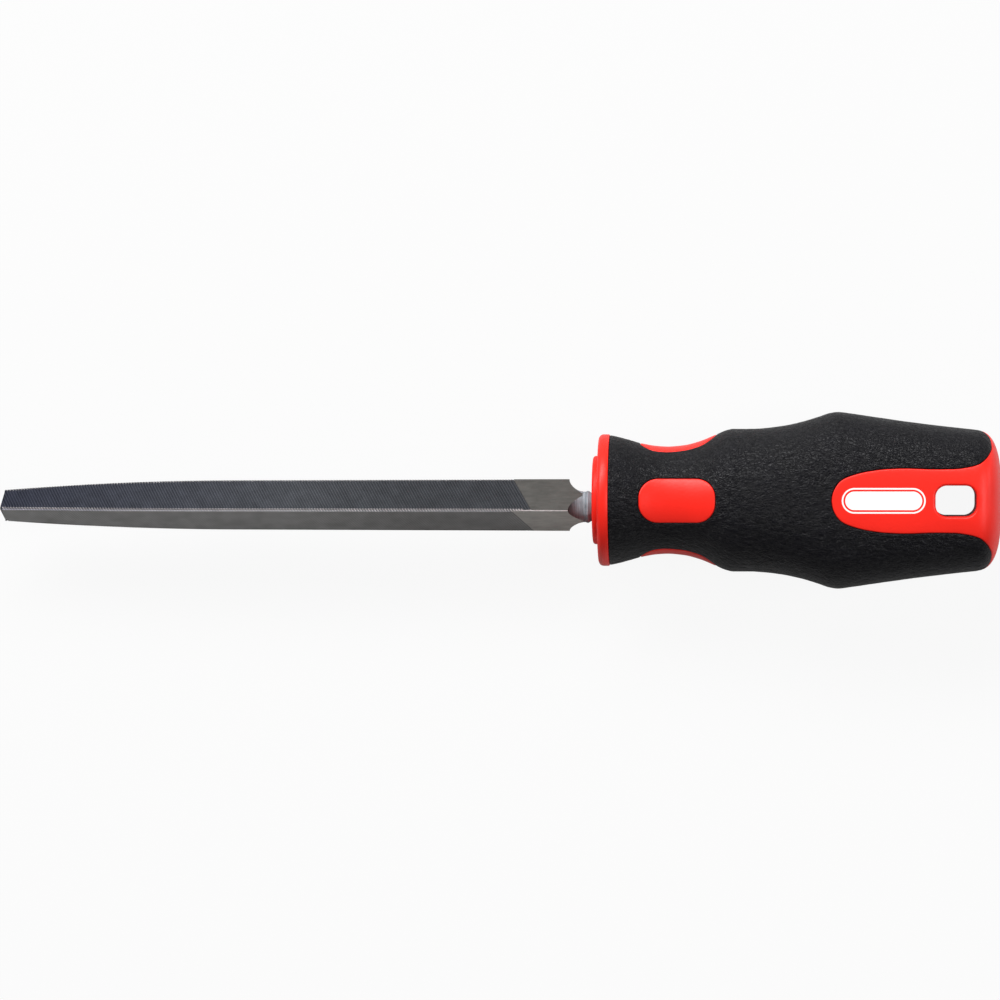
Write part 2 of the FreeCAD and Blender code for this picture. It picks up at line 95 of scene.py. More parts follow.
def smooth_curve(stations, places):
    """Values at the places of a smooth curve through the stations, with no overshoot."""
    known, values = np.array(stations, float).T
    step = np.diff(known)
    slope = np.diff(values) / step
    tangent = np.zeros(len(known))
    steady = slope[:-1] * slope[1:] > 0
    both = np.where(steady, slope[:-1] + slope[1:], 1.0)
    tangent[1:-1] = np.where(steady, 2 * slope[:-1] * slope[1:] / both, 0.0)
    tangent[0], tangent[-1] = slope[0], slope[-1]
    places = np.clip(np.asarray(places, float), known[0], known[-1])
    cell = np.clip(np.searchsorted(known, places) - 1, 0, len(step) - 1)
    t = (places - known[cell]) / step[cell]
    rise = values[cell + 1] - values[cell]
    curved = (t * (t - 1) ** 2 * tangent[cell] + t * t * (t - 1) * tangent[cell + 1]) * step[cell]
    return values[cell] + rise * t * t * (3 - 2 * t) + curved


def distance_along(points):
    """Distance from a polyline's first point to each of its points."""
    steps = np.linalg.norm(np.diff(points, axis=0), axis=1)
    return np.concatenate([[0.0], np.cumsum(steps)])


def resample(points, spacing):
    """Points at even spacing along a polyline, both ends kept."""
    points = np.asarray(points, float)
    way = distance_along(points)
    count = max(int(round(way[-1] / spacing)), 4)
    even = np.linspace(0.0, way[-1], count + 1)
    return np.stack([np.interp(even, way, column) for column in points.T], axis=1)


def smooth_path(points, spacing):
    """A smooth line through the points, evenly divided."""
    points = np.asarray(points, float)
    way = distance_along(points)
    fine = np.linspace(0.0, way[-1], len(points) * 24)
    columns = [smooth_curve(list(zip(way, column)), fine) for column in points.T]
    return resample(np.stack(columns, axis=1), spacing)


def arc(middle, radius, start, end, count):
    """Points of an arc, its angles in degrees."""
    angles = np.radians(np.linspace(start, end, count))
    return np.stack([middle[0] + radius * np.cos(angles),
                     middle[1] + radius * np.sin(angles)], axis=1)


def rounded_rectangle(middle, length, width, radius, spacing):
    """A closed outline without its last point, which would repeat the first."""
    across, up = length / 2 - radius, width / 2 - radius
    corners = []
    for side, top, start in ((1, 1, 0), (-1, 1, 90), (-1, -1, 180), (1, -1, 270)):
        centre = (middle[0] + side * across, middle[1] + top * up)
        corners.append(arc(centre, radius, start, start + 90, 24))
    outline = np.vstack(corners + [corners[0][:1]])
    return resample(outline, spacing)[:-1]


def offset_line(line, distance, closed):
    """The line moved to its left by distance."""
    if closed:
        along = np.roll(line, -1, axis=0) - np.roll(line, 1, axis=0)
    else:
        along = np.gradient(line, axis=0)
    along /= np.linalg.norm(along, axis=1)[:, None]
    return line + np.stack([-along[:, 1], along[:, 0]], axis=1) * distance


def inside(outline, points):
    """True for each point that lies inside the closed outline."""
    x, y = points[:, 0], points[:, 1]
    within = np.zeros(len(points), bool)
    for (x0, y0), (x1, y1) in zip(outline, np.roll(outline, -1, axis=0)):
        if y0 == y1:
            continue
        crosses = (y0 > y) != (y1 > y)
        within ^= crosses & (x < (x1 - x0) * (y - y0) / (y1 - y0) + x0)
    return within


# ------------------------------------------------------------------ the handle's skin

def side_line():
    """Along the handle's side: distance, place u and share of the full section there."""
    straight = np.linspace(HALF_WIDTHS[0][0], END_START, 900)
    turn = np.linspace(0.0, math.pi / 2, 500)[1:]
    depth = HANDLE_LENGTH - END_START
    place = np.concatenate([straight, END_START + depth * np.sin(turn) ** (2 / END_POWER)])
    share = np.concatenate([np.ones(len(straight)), np.abs(np.cos(turn)) ** (2 / END_POWER)])
    share[-1] = 0.0
    width = smooth_curve(HALF_WIDTHS, place) * share
    way = np.concatenate([[0.0], np.cumsum(np.hypot(np.diff(place), np.diff(width)))])
    return way, place, share


WAY, PLACE, SHARE = side_line()


def way_at(place):
    return np.interp(place, PLACE, WAY)


def half_sizes(place, share):
    """Half width, half height and squareness of the section at places along the handle."""
    width = smooth_curve(HALF_WIDTHS, place) * share
    height = smooth_curve(HALF_HEIGHTS, place) * share
    return width, height, smooth_curve(SQUARENESS, place)


def bare_skin(way, turn):
    place = np.interp(way, WAY, PLACE)
    share = np.maximum(np.interp(way, WAY, SHARE), 1e-5)
    width, height, power = half_sizes(place, share)
    side, up = np.sin(turn), np.cos(turn)
    reach = (np.abs(side) / width) ** power + (np.abs(up) / height) ** power
    reach = reach ** (-1 / power)
    return np.stack([place, reach * side, reach * up], axis=-1)


def skin(way, turn, height=0.0):
    """Points of the handle's outside; turn runs from the top to +Y, height is out of the skin."""
    way, turn = np.broadcast_arrays(np.asarray(way, float), np.asarray(turn, float))
    step = 0.03
    along = bare_skin(way + step, turn) - bare_skin(way - step, turn)
    around = bare_skin(way, turn + step / UNROLL) - bare_skin(way, turn - step / UNROLL)
    normal = np.cross(around, along)
    normal /= np.maximum(np.linalg.norm(normal, axis=-1), 1e-12)[..., None]
    outwards = np.sign(np.sum(normal * bare_skin(way, turn) * (0, 1, 1), axis=-1) + 1e-12)
    point = bare_skin(way, turn)
    return point + normal * (outwards * height)[..., None]


def turn_at(place, aside):
    """Turn from the top of the skin's points that are this far aside, seen from above."""
    share = np.interp(way_at(place), WAY, SHARE)
    width, height, power = half_sizes(place, share)
    up = height * np.maximum(1 - (np.abs(aside) / width) ** power, 0.0) ** (1 / power)
    return np.arctan2(aside, up)


def unrolled(outline, quarter=0):
    """An outline drawn from above, in (u, y), as lines on the unrolled skin."""
    place, aside = np.asarray(outline, float).T
    turn = turn_at(place, aside)
    if quarter == 2:
        turn = -turn
    turn = turn + quarter * math.pi / 2
    return np.stack([way_at(place), ((turn - SEAM_TURN) % (2 * math.pi)) * UNROLL], axis=1)


def turn_of(unrolled_side):
    return SEAM_TURN + unrolled_side / UNROLL


# ------------------------------------------------------------------ meshes

def placed(points):
    """Shape millimetres about the handle's axis as metres in the part's frame."""
    return (np.asarray(points, float) + (FRONT, 0.0, AXIS)) * MM


def new_piece(name, points, faces, materials, chosen=None, sharp=math.radians(38)):
    """A closed, smooth-shaded mesh whose place is in its vertices."""
    mesh = bpy.data.meshes.new(name)
    mesh.from_pydata(placed(points).tolist(), [], [tuple(map(int, face)) for face in faces])
    for material in materials:
        mesh.materials.append(material)
    if chosen is not None:
        mesh.polygons.foreach_set("material_index", np.asarray(chosen, np.int32))
    return finish_piece(bpy.data.objects.new(name, mesh), sharp)


def finish_piece(piece, sharp):
    if piece.name not in bpy.context.scene.collection.objects:
        bpy.context.scene.collection.objects.link(piece)
    work = bmesh.new()
    work.from_mesh(piece.data)
    bmesh.ops.remove_doubles(work, verts=work.verts, dist=1e-7)
    bmesh.ops.recalc_face_normals(work, faces=work.faces)
    work.to_mesh(piece.data)
    work.free()
    piece.data.polygons.foreach_set("use_smooth", [True] * len(piece.data.polygons))
    piece.data.set_sharp_from_angle(angle=sharp)
    piece.data.update()
    return piece


def loft_faces(rings, size, close=True):
    """Quads between rings of the same size, with a flat face at each open end."""
    faces = []
    for ring in range(rings - 1):
        for item in range(size):
            beside = (item + 1) % size
            faces.append((ring * size + item, ring * size + beside,
                          (ring + 1) * size + beside, (ring + 1) * size + item))
    if close:
        faces.append(tuple(reversed(range(size))))
        faces.append(tuple(range((rings - 1) * size, rings * size)))
    return faces


def turned(profile, count):
    """A profile of (u, r) points turned round the axis; r = 0 makes a pole."""
    points, rows = [], []
    angles = np.linspace(0, 2 * math.pi, count, endpoint=False)
    for place, radius in profile:
        start = len(points)
        if radius < 1e-6:
            points.append((place, 0.0, 0.0))
            rows.append([start] * count)
        else:
            points.extend((place, radius * math.sin(a), radius * math.cos(a)) for a in angles)
            rows.append(list(range(start, start + count)))
    faces = []
    for row, following in zip(rows, rows[1:]):
        for item in range(count):
            beside = (item + 1) % count
            corners = [row[item], row[beside], following[beside], following[item]]
            unique = list(dict.fromkeys(corners))
            if len(unique) > 2:
                faces.append(tuple(unique))
    return points, faces


def line_rows(lines):
    """Each line's indices when all are numbered through, a closed one's back to its start."""
    rows, start = [], 0
    for line, closed in lines:
        row = np.arange(start, start + len(line))
        rows.append(np.append(row, start) if closed else row)
        start += len(line)
    return rows


def triangulate(lines, extra):
    """Triangles over lines, each (points, closed), and extra points of the unrolled skin."""
    edges = []
    for row in line_rows(lines):
        indices = row.tolist()
        edges += zip(indices, indices[1:])
    everything = np.vstack([line for line, closed in lines] + [extra])
    flat = [Vector(point) for point in everything.tolist()]
    result = delaunay_2d_cdt(flat, edges, [], 0, 1e-7)
    return everything, np.array(result[2], int)


def near_lines(lines):
    """A finder for the distance to the lines, which also looks across the seam."""
    points = np.vstack([line for line, closed in lines])
    finder = kdtree.KDTree(len(points) * 3)
    for number, shift in enumerate((-FULL_ROUND, 0.0, FULL_ROUND)):
        for index, (way, side) in enumerate(points):
            finder.insert((way, side + shift, 0.0), number * len(points) + index)
    finder.balance()
    return finder


def distances(finder, points):
    return np.array([finder.find((way, side, 0.0))[2] for way, side in points])


def grid(start, end, spacing):
    """Even rows over the unrolled skin, the same on both sides of its seam."""
    rows = np.linspace(start, end, int(round((end - start) / spacing)) + 1)
    columns = np.linspace(0.0, FULL_ROUND, int(round(FULL_ROUND / spacing)) + 1)
    across, up = np.meshgrid(rows, columns, indexing="ij")
    return np.stack([across.ravel(), up.ravel()], axis=1)


def off_seam(points):
    """The points, with those on the seam moved a little way off it for a test of inside."""
    side = np.clip(points[:, 1], SEAM_NUDGE, FULL_ROUND - SEAM_NUDGE)
    return np.stack([points[:, 0], side], axis=1)


def end_on_seam(line):
    """A line that runs once round, with both its ends exactly on the seam."""
    keep = (line[:, 1] > SEAM_CLEAR) & (line[:, 1] < FULL_ROUND - SEAM_CLEAR)
    keep[0] = keep[-1] = True
    line = line[keep]
    middle = (line[0, 0] + line[-1, 0]) / 2
    line[0] = (middle, 0.0)
    line[-1] = (middle, FULL_ROUND)
    return line


# ------------------------------------------------------------------ outlines on the handle

LINE_SPACING = 0.3
SEAM_NUDGE = 0.01
SEAM_CLEAR = 0.12
PAD_MIDDLE = 21.0
PAD_LENGTH = 20.0
PAD_WIDTH = 11.74
PAD_CORNER = 5.0
EYE_MIDDLE = 94.0
EYE_LENGTH = 10.75
EYE_WIDTH = 8.2
EYE_CORNER = 3.0
PANEL_EDGE = (
    (61.5, 0.0), (61.75, 1.7), (62.6, 3.7), (64.2, 5.5), (67.0, 6.75), (71.0, 7.75),
    (76.0, 8.4), (81.0, 8.57), (88.0, 8.36), (93.5, 8.42), (97.5, 8.95), (100.0, 9.7),
    (101.6, 10.8), (102.9, 12.4), (103.5, 14.0),
)

# Places and turns, in degrees, of the black lobes' rounded ends.
LOBE_END = ((103.2, 66.0), (102.3, 76.0), (101.2, 84.0), (100.8, 90.0))


def pad_outlines():
    """The four red thumb pads round the waist."""
    flat = rounded_rectangle((PAD_MIDDLE, 0.0), PAD_LENGTH, PAD_WIDTH, PAD_CORNER, LINE_SPACING)
    return [unrolled(flat, quarter) for quarter in range(4)]


def eye_outlines():
    """The hanging eye on the top and, point for point, on the bottom."""
    flat = rounded_rectangle((EYE_MIDDLE, 0.0), EYE_LENGTH, EYE_WIDTH, EYE_CORNER, LINE_SPACING)
    return [unrolled(flat, quarter) for quarter in (0, 2)]


def panel_outline():
    """The line once round the handle where the black lobes end and the red rear begins."""
    edge_place, aside = np.array(PANEL_EDGE).T
    lobe_place, lobe_turn = np.array(LOBE_END).T
    way = np.concatenate([way_at(edge_place), way_at(lobe_place)])
    turn = np.concatenate([turn_at(edge_place, aside), np.radians(lobe_turn)])
    quarter = smooth_path(np.stack([way, turn * UNROLL], axis=1), LINE_SPACING)
    half_round = FULL_ROUND / 2
    mirrored = np.stack([quarter[::-1, 0], half_round - quarter[::-1, 1]], axis=1)
    one_side = np.vstack([quarter, mirrored[1:]])
    other = np.stack([one_side[::-1, 0], FULL_ROUND - one_side[::-1, 1]], axis=1)
    whole = np.vstack([one_side, other[1:]])
    seam = SEAM_TURN * UNROLL
    cut = int(np.argmax(whole[:, 1] >= seam))
    before, after = whole[cut - 1], whole[cut]
    crossing = before + (after - before) * (seam - before[1]) / (after[1] - before[1])
    start = np.vstack([[crossing], whole[cut:]]) - (0.0, seam)
    end = np.vstack([whole[1:cut], [crossing]]) + (0.0, FULL_ROUND - seam)
    return end_on_seam(resample(np.vstack([start, end]), LINE_SPACING))


def left_is_inside(outline):
    """True where the outline runs counter-clockwise in the unrolled plane."""
    following = np.roll(outline, -1, axis=0)
    return np.sum(outline[:, 0] * following[:, 1] - following[:, 0] * outline[:, 1]) > 0


def step_line(line, closed, into_red):
    """The line moved into the red by a distance, or out of it where that is negative."""
    if closed:
        return offset_line(line, into_red if left_is_inside(line) else -into_red, True)
    return end_on_seam(offset_line(line, -into_red, False))


# ------------------------------------------------------------------ node helpers

class Tree:
    """Adds nodes to a node tree and joins their sockets."""

    def __init__(self, tree):
        self.tree = tree
        self.count = 0

    def add(self, kind, settings=None, **inputs):
        """A node; inputs are values or output sockets, with _ for a space in their names."""
        node = self.tree.nodes.new(kind)
        node.location = (220 * (self.count % 8), -260 * (self.count // 8))
        self.count += 1
        for name, value in (settings or {}).items():
            setattr(node, name, value)
        for name, value in inputs.items():
            self.put(node.inputs[name.replace("_", " ")], value)
        return node

    def put(self, socket, value):
        if isinstance(value, bpy.types.NodeSocket):
            self.tree.links.new(value, socket)
        else:
            socket.default_value = value

    def math(self, operation, *values, kind="ShaderNodeMath"):
        node = self.add(kind, {"operation": operation})
        for socket, value in zip(node.inputs, values):
            self.put(socket, value)
        return node.outputs[0]

    def vector_math(self, operation, *values):
        return self.math(operation, *values, kind="ShaderNodeVectorMath")

    def axes(self, vector):
        """The vector's X, Y and Z."""
        return self.add("ShaderNodeSeparateXYZ", Vector=vector).outputs

    def blend(self, factor, low, high, blend_type="MIX"):
        """A colour between low and high; a colour's sockets come after the other kinds'."""
        node = self.add("ShaderNodeMix", {"data_type": "RGBA", "blend_type": blend_type})
        for index, value in ((0, factor), (6, low), (7, high)):
            self.put(node.inputs[index], value)
        return node.outputs[2]

    def spread(self, value, low, high, to_low=0.0, to_high=1.0):
        """The value's range moved to another range, clamped."""
        node = self.add("ShaderNodeMapRange")
        for name, item in (("Value", value), ("From Min", low), ("From Max", high),
                           ("To Min", to_low), ("To Max", to_high)):
            self.put(node.inputs[name], item)
        return node.outputs[0]


def new_group(name, kind, inputs, outputs):
    """A node group with named sockets; gives the group, its builder and its two ends."""
    group = bpy.data.node_groups.new(name, kind)
    for label, socket, default in inputs:
        item = group.interface.new_socket(label, in_out="INPUT", socket_type=socket)
        if default is not None:
            item.default_value = default
    for label, socket in outputs:
        group.interface.new_socket(label, in_out="OUTPUT", socket_type=socket)
    tree = Tree(group)
    start = tree.add("NodeGroupInput").outputs
    end = tree.add("NodeGroupOutput").inputs
    return group, tree, start, end


FLOAT, VECTOR, GEOMETRY = "NodeSocketFloat", "NodeSocketVector", "NodeSocketGeometry"


def leather_group():
    """Wrinkled leather grain: cells of one size with softer, larger creases over them. Its Shade
    is painted shade, darker along the cell edges and in the creases.
    """
    group, tree, start, end = new_group(
        "leather_grain", "ShaderNodeTree",
        [("Vector", VECTOR, None), ("Cells per Metre", FLOAT, 1400.0),
         ("Crease Share", FLOAT, 0.5)],
        [("Height", FLOAT), ("Shade", FLOAT)])
    drawn = tree.vector_math("MULTIPLY", start["Vector"], (0.6, 1.0, 1.0))
    warp = tree.add("ShaderNodeTexNoise", Vector=drawn, Scale=900.0, Detail=1.0)
    centred = tree.vector_math("SUBTRACT", warp.outputs["Color"], (0.5, 0.5, 0.5))
    shift = tree.vector_math("MULTIPLY", centred, (0.0011, 0.0011, 0.0011))
    bent = tree.vector_math("ADD", drawn, shift)
    cells = tree.add("ShaderNodeTexVoronoi", {"feature": "DISTANCE_TO_EDGE"},
                     Vector=bent, Scale=start["Cells per Metre"])
    cushion = tree.spread(cells.outputs["Distance"], 0.0, 0.28)
    pebbles = tree.math("POWER", cushion, 0.6)
    creases = tree.add("ShaderNodeTexNoise", Vector=bent, Detail=1.5,
                       Scale=tree.math("MULTIPLY", start["Cells per Metre"], 0.42))
    soft = tree.spread(creases.outputs["Fac"], 0.3, 0.7)
    share = start["Crease Share"]
    rest = tree.math("SUBTRACT", 1.0, share)
    total = tree.math("ADD", tree.math("MULTIPLY", soft, share),
                      tree.math("MULTIPLY", pebbles, rest))
    tree.put(end["Height"], total)
    tree.put(end["Shade"], tree.math("MULTIPLY", pebbles, soft))
    return group


def mottle_group():
    """Soft uneven tone at one size, between two values."""
    group, tree, start, end = new_group(
        "soft_mottle", "ShaderNodeTree",
        [("Vector", VECTOR, None), ("Spots per Metre", FLOAT, 100.0),
         ("Low", FLOAT, 0.0), ("High", FLOAT, 1.0)],
        [("Value", FLOAT)])
    spots = tree.add("ShaderNodeTexNoise", Vector=start["Vector"],
                     Scale=start["Spots per Metre"], Detail=4.0, Roughness=0.6)
    tree.put(end["Value"], tree.spread(spots.outputs["Fac"], 0.32, 0.68,
                                       start["Low"], start["High"]))
    return group


def grinding_group():
    """Fine scratches drawn out along one way, set by how much each axis is stretched."""
    group, tree, start, end = new_group(
        "grinding_marks", "ShaderNodeTree",
        [("Vector", VECTOR, None), ("Stretch", VECTOR, (40.0, 3000.0, 3000.0)),
         ("Contrast", FLOAT, 0.6)],
        [("Height", FLOAT), ("Shade", FLOAT)])
    drawn = tree.vector_math("MULTIPLY", start["Vector"], start["Stretch"])
    lines = tree.add("ShaderNodeTexNoise", Vector=drawn, Scale=1.0, Detail=3.0, Roughness=0.7)
    tree.put(end["Height"], lines.outputs["Fac"])
    half = tree.math("MULTIPLY", start["Contrast"], 0.5)
    low = tree.math("SUBTRACT", 1.0, half)
    high = tree.math("ADD", 1.0, half)
    tree.put(end["Shade"], tree.spread(lines.outputs["Fac"], 0.35, 0.65, low, high))
    return group


def shared_group(name, make):
    return bpy.data.node_groups.get(name) or make()


def use_group(tree, name, make, **inputs):
    node = tree.add("ShaderNodeGroup", {"node_tree": shared_group(name, make)})
    for label, value in inputs.items():
        tree.put(node.inputs[label.replace("_", " ")], value)
    return node.outputs


def new_material(name, **shader_values):
    """A material; gives it, its node builder, the shader's inputs and object coordinates."""
    material = bpy.data.materials.new(name)
    material.use_nodes = True
    tree = Tree(material.node_tree)
    shader = material.node_tree.nodes["Principled BSDF"]
    for label, value in shader_values.items():
        shader.inputs[label.replace("_", " ")].default_value = value
    place = tree.add("ShaderNodeTexCoord").outputs["Object"]
    return material, tree, shader.inputs, place


def bump(tree, shader, height, depth):
    node = tree.add("ShaderNodeBump", Strength=1.0, Distance=depth, Height=height)
    tree.put(shader["Normal"], node.outputs[0])


def shaded(tree, colour, shade):
    """A plain colour made lighter and darker by a varying shade."""
    grey = tree.add("ShaderNodeCombineColor", Red=shade, Green=shade, Blue=shade)
    return tree.blend(1.0, colour, grey.outputs[0], "MULTIPLY")


def mottle(tree, place, spots, low, high):
    """Soft uneven tone from low to high, with so many spots to the metre."""
    return use_group(tree, "soft_mottle", mottle_group, Vector=place,
                     Spots_per_Metre=float(spots), Low=low, High=high)["Value"]


# ------------------------------------------------------------------ finishes

def grip_rubber(look):
    material, tree, shader, place = new_material(
        "grip_rubber", Specular_IOR_Level=0.22, IOR=1.5)
    grain = use_group(tree, "leather_grain", leather_group, Vector=place,
                      Cells_per_Metre=1900.0, Crease_Share=0.6)
    patches = mottle(tree, place, 140, 0.75, 1.2)
    # Painted shade: the grain's Shade darkens the rubber's colour in its creases and along its
    # cell edges.
    low = tuple(channel * 0.6 for channel in look.grip_colour[:3]) + (1.0,)
    tone = tree.blend(grain["Shade"], low, tuple(look.grip_colour))
    tree.put(shader["Base Color"], shaded(tree, tone, patches))
    tree.put(shader["Roughness"], tree.spread(grain["Shade"], 0.0, 1.0, 0.48, 0.38))
    bump(tree, shader, grain["Height"], 0.00024)
    return material


def core_plastic(look):
    material, tree, shader, place = new_material(
        "core_plastic", Specular_IOR_Level=0.26, IOR=1.5)
    patches = mottle(tree, place, 55, 0.95, 1.04)
    plain = shaded(tree, tuple(look.core_colour), patches)
    tree.put(shader["Base Color"], tree.blend(label_mask(tree, place), plain,
                                              tuple(look.label_colour)))
    peel = mottle(tree, place, 1700, 0.0, 1.0)
    tree.put(shader["Roughness"], tree.spread(peel, 0.0, 1.0, 0.36, 0.43))
    bump(tree, shader, peel, 0.000012)
    return material


LABEL_MIDDLE = (75.1, 0.1)
LABEL_LENGTH = 21.9
LABEL_WIDTH = 6.7
LABEL_LINE = 0.42
LABEL_GAP = 0.5
LABEL_SOFT = 0.03


def label_mask(tree, place):
    """A blank printed label: a rounded patch inside a thin line of the same shape."""
    across, aside, up = tree.axes(place)
    middle = (FRONT + LABEL_MIDDLE[0]) * MM
    run = (LABEL_LENGTH - LABEL_WIDTH) / 2 * MM
    from_middle = tree.math("ABSOLUTE", tree.math("SUBTRACT", across, middle))
    beyond = tree.math("MAXIMUM", tree.math("SUBTRACT", from_middle, run), 0.0)
    off_line = tree.math("SUBTRACT", aside, LABEL_MIDDLE[1] * MM)
    far = tree.math("SQRT", tree.math("ADD", tree.math("MULTIPLY", beyond, beyond),
                                      tree.math("MULTIPLY", off_line, off_line)))

    def within(inset):
        limit = LABEL_WIDTH / 2 - inset
        return tree.spread(far, (limit - LABEL_SOFT) * MM, (limit + LABEL_SOFT) * MM, 1.0, 0.0)

    line = tree.math("SUBTRACT", within(0.0), within(LABEL_LINE))
    patch = within(LABEL_LINE + LABEL_GAP)
    printed = tree.math("ADD", line, patch)
    on_top = tree.math("GREATER_THAN", up, AXIS * MM)
    return tree.math("MULTIPLY", printed, on_top)


def socket_plastic(look):
    material, tree, shader, place = new_material(
        "socket_plastic", Specular_IOR_Level=0.18, IOR=1.5)
    patches = mottle(tree, place, 70, 0.93, 1.03)
    tree.put(shader["Base Color"], shaded(tree, tuple(look.core_colour), patches))
    peel = mottle(tree, place, 1700, 0.42, 0.5)
    tree.put(shader["Roughness"], peel)
    return material


# Millimetres from the tip: where the blue tone ends, and where the teeth begin to grow darker
# towards the heel.
BLUE_END = 80.0
DARKEN_START, DARKEN_FULL = 75.0, 110.0
HEEL_END_DARKER = 0.72
# How much paler the heel's face towards -Y is painted, as painted light.
HEEL_FACE_PAINTED_LIGHT = 2.8
# Share of the land colour left on the lower corners, as painted shade.
SIDE_LAND_PAINTED_SHADE = 0.08
# Length of the painted shade in the hollow behind the shoulder.
HOLLOW_SHADE_LENGTH = 3.0


def blade_place(millimetres):
    """X in the frame at a distance behind the blade's tip."""
    return BLADE_LOW.x + millimetres * MM


def cut_steel(look):
    """The toothed faces: painted shade in the gullets and painted highlight on the crests, bluer
    near the tip, darker towards the heel, and the face towards -Y painted paler as though more
    light fell on it.
    """
    material, tree, shader, place = new_material("cut_steel", Metallic=0.85)
    across = tree.axes(place)[0]
    towards_heel = tree.spread(across, blade_place(0.0), blade_place(BLUE_END))
    darker = tree.blend(towards_heel, tuple(look.tip_colour), tuple(look.cut_colour))
    # Painted light: the face towards -Y takes a paler colour as though more light fell on it.
    tone = tree.blend(right_hand_face(tree), darker, tuple(look.right_colour))
    crest = tree.add("ShaderNodeAttribute", {"attribute_name": "crest"}).outputs["Fac"]
    patches = mottle(tree, place, 260, 0.85, 1.15)
    # Darker towards the heel end of the teeth, times an uneven tone.
    darker_to_heel = tree.spread(across, blade_place(DARKEN_START), blade_place(DARKEN_FULL), 1.0, HEEL_END_DARKER)
    darker_to_heel = tree.math("MULTIPLY", darker_to_heel, patches)
    # Painted shade in the gullets and painted highlight on the crests, times the darkening
    # towards the heel and an uneven tone.
    painted_light_and_tone = tree.math("MULTIPLY", tree.spread(crest, 0.0, 1.0, 0.85, 1.2), darker_to_heel)
    tree.put(shader["Base Color"], shaded(tree, tone, painted_light_and_tone))
    tree.put(shader["Roughness"], tree.spread(crest, 0.0, 1.0, 0.55, 0.34))
    return material


def right_hand_face(tree):
    """One on the blade's face towards -Y, which is painted paler as though more light fell on it,
    and nought elsewhere.
    """
    facing = tree.add("ShaderNodeTexCoord").outputs["Normal"]
    aside = tree.axes(facing)[1]
    return tree.spread(aside, -0.05, -0.25)


def heel_steel(look):
    """The uncut heel: fine long grinding marks and faint warm stains, with its face towards -Y
    painted paler as though more light fell on it.
    """
    material, tree, shader, place = new_material("heel_steel", Metallic=0.85)
    marks = use_group(tree, "grinding_marks", grinding_group, Vector=place,
                      Stretch=(260.0, 2600.0, 2600.0), Contrast=0.25)
    stains = mottle(tree, place, 170, 0.84, 1.14)
    shade = tree.math("MULTIPLY", marks["Shade"], stains)
    # Painted light: the heel's face towards -Y is made paler.
    paler = tree.spread(right_hand_face(tree), 0.0, 1.0, 1.0, HEEL_FACE_PAINTED_LIGHT)
    shade = tree.math("MULTIPLY", shade, paler)
    tree.put(shader["Base Color"], shaded(tree, tuple(look.heel_colour), shade))
    tree.put(shader["Roughness"], tree.spread(stains, 0.84, 1.14, 0.4, 0.5))
    bump(tree, shader, marks["Height"], 0.00001)
    return material


def land_steel(look):
    """The narrow lands along the blade's corners: painted light keeps them bright on the high
    ridge and dulls them on the lower sides.
    """
    material, tree, shader, place = new_material("land_steel", Metallic=0.4)
    marks = mottle(tree, place, 900, 0.6, 1.2)
    # Painted light: lands high on the ridge keep their bright colour, lower ones are darkened as
    # painted shade.
    up = tree.axes(place)[2]
    painted_ridge_light = tree.spread(up, (AXIS + 1.0) * MM, (AXIS + 3.5) * MM, SIDE_LAND_PAINTED_SHADE, 1.0)
    tone = tree.math("MULTIPLY", marks, painted_ridge_light)
    tree.put(shader["Base Color"], shaded(tree, tuple(look.land_colour), tone))
    tree.put(shader["Roughness"], tree.spread(marks, 0.6, 1.2, 0.5, 0.3))
    return material


def neck_steel(look):
    """The ground shoulder and neck, with marks that run round it and painted shade in the hollow
    behind the shoulder.
    """
    material, tree, shader, place = new_material("neck_steel", Specular_IOR_Level=0.1)
    marks = use_group(tree, "grinding_marks", grinding_group, Vector=place,
                      Stretch=(2600.0, 160.0, 160.0), Contrast=0.5)
    stains = mottle(tree, place, 300, 0.75, 1.15)
    across = tree.axes(place)[0]
    shoulder = FRONT * MM + bpy.context.scene.hand_file_blade.shoulder
    # Painted shade: a dark colour in the hollow behind the shoulder, fading to the neck's own
    # colour.
    out_of_hollow_shade = tree.spread(across, shoulder, shoulder + HOLLOW_SHADE_LENGTH * MM)
    tone = tree.blend(out_of_hollow_shade, tuple(look.hollow_colour), tuple(look.neck_colour))
    shade = tree.math("MULTIPLY", marks["Shade"], stains)
    tree.put(shader["Base Color"], shaded(tree, tone, shade))
    tree.put(shader["Roughness"], tree.spread(marks["Height"], 0.3, 0.7, 0.42, 0.6))
    bump(tree, shader, marks["Height"], 0.00002)
    return material


def finish(make):
    """A finish that is made once, under its function's name, and then shared."""
    return bpy.data.materials.get(make.__name__) or make(bpy.context.scene.hand_file_look)


# ------------------------------------------------------------------ the blade

ROOT3 = math.sqrt(3)
FACE_ANGLES = (30.0, 150.0, 270.0)

# Places behind the flange's face and radii of the neck, which has softly marked sides.
NECK_PROFILE = ((-6.9, 3.7), (-6.2, 4.0), (-3.5, 4.05), (-3.4, 3.95), (-3.28, 4.2),
                (-2.75, 4.25), (-1.6, 3.5), (1.4, 3.45))
NECK_STEP = -3.45
NECK_SIDED, RING_SIDED = 0.12, 0.3
NECK_FACETS = 8

# The solid under the teeth, whose ground end stands out at the two corners of the ridge.
BODY_LAND = 0.5
BODY_RINGS = 40
TIP_OVERHANG = 0.3
TIP_BEVEL = 0.15
TIP_SMALLER = 0.4
TIP_PROUD = 0.35
RIDGE_CORNERS = (1, 2)
RIDGE_PROUD = 0.5

# The teeth end along a leaning line, with a step up to the heel, which is cut off further on.
LEAN_ROOM = 7.0
HEEL_STEP = 0.1
HEEL_OVERRUN = 3.7
CUTTER_RADIUS = 14.0

# The blade's materials, in the order of its slots.
CUT, HEEL, LAND, NECK = range(4)


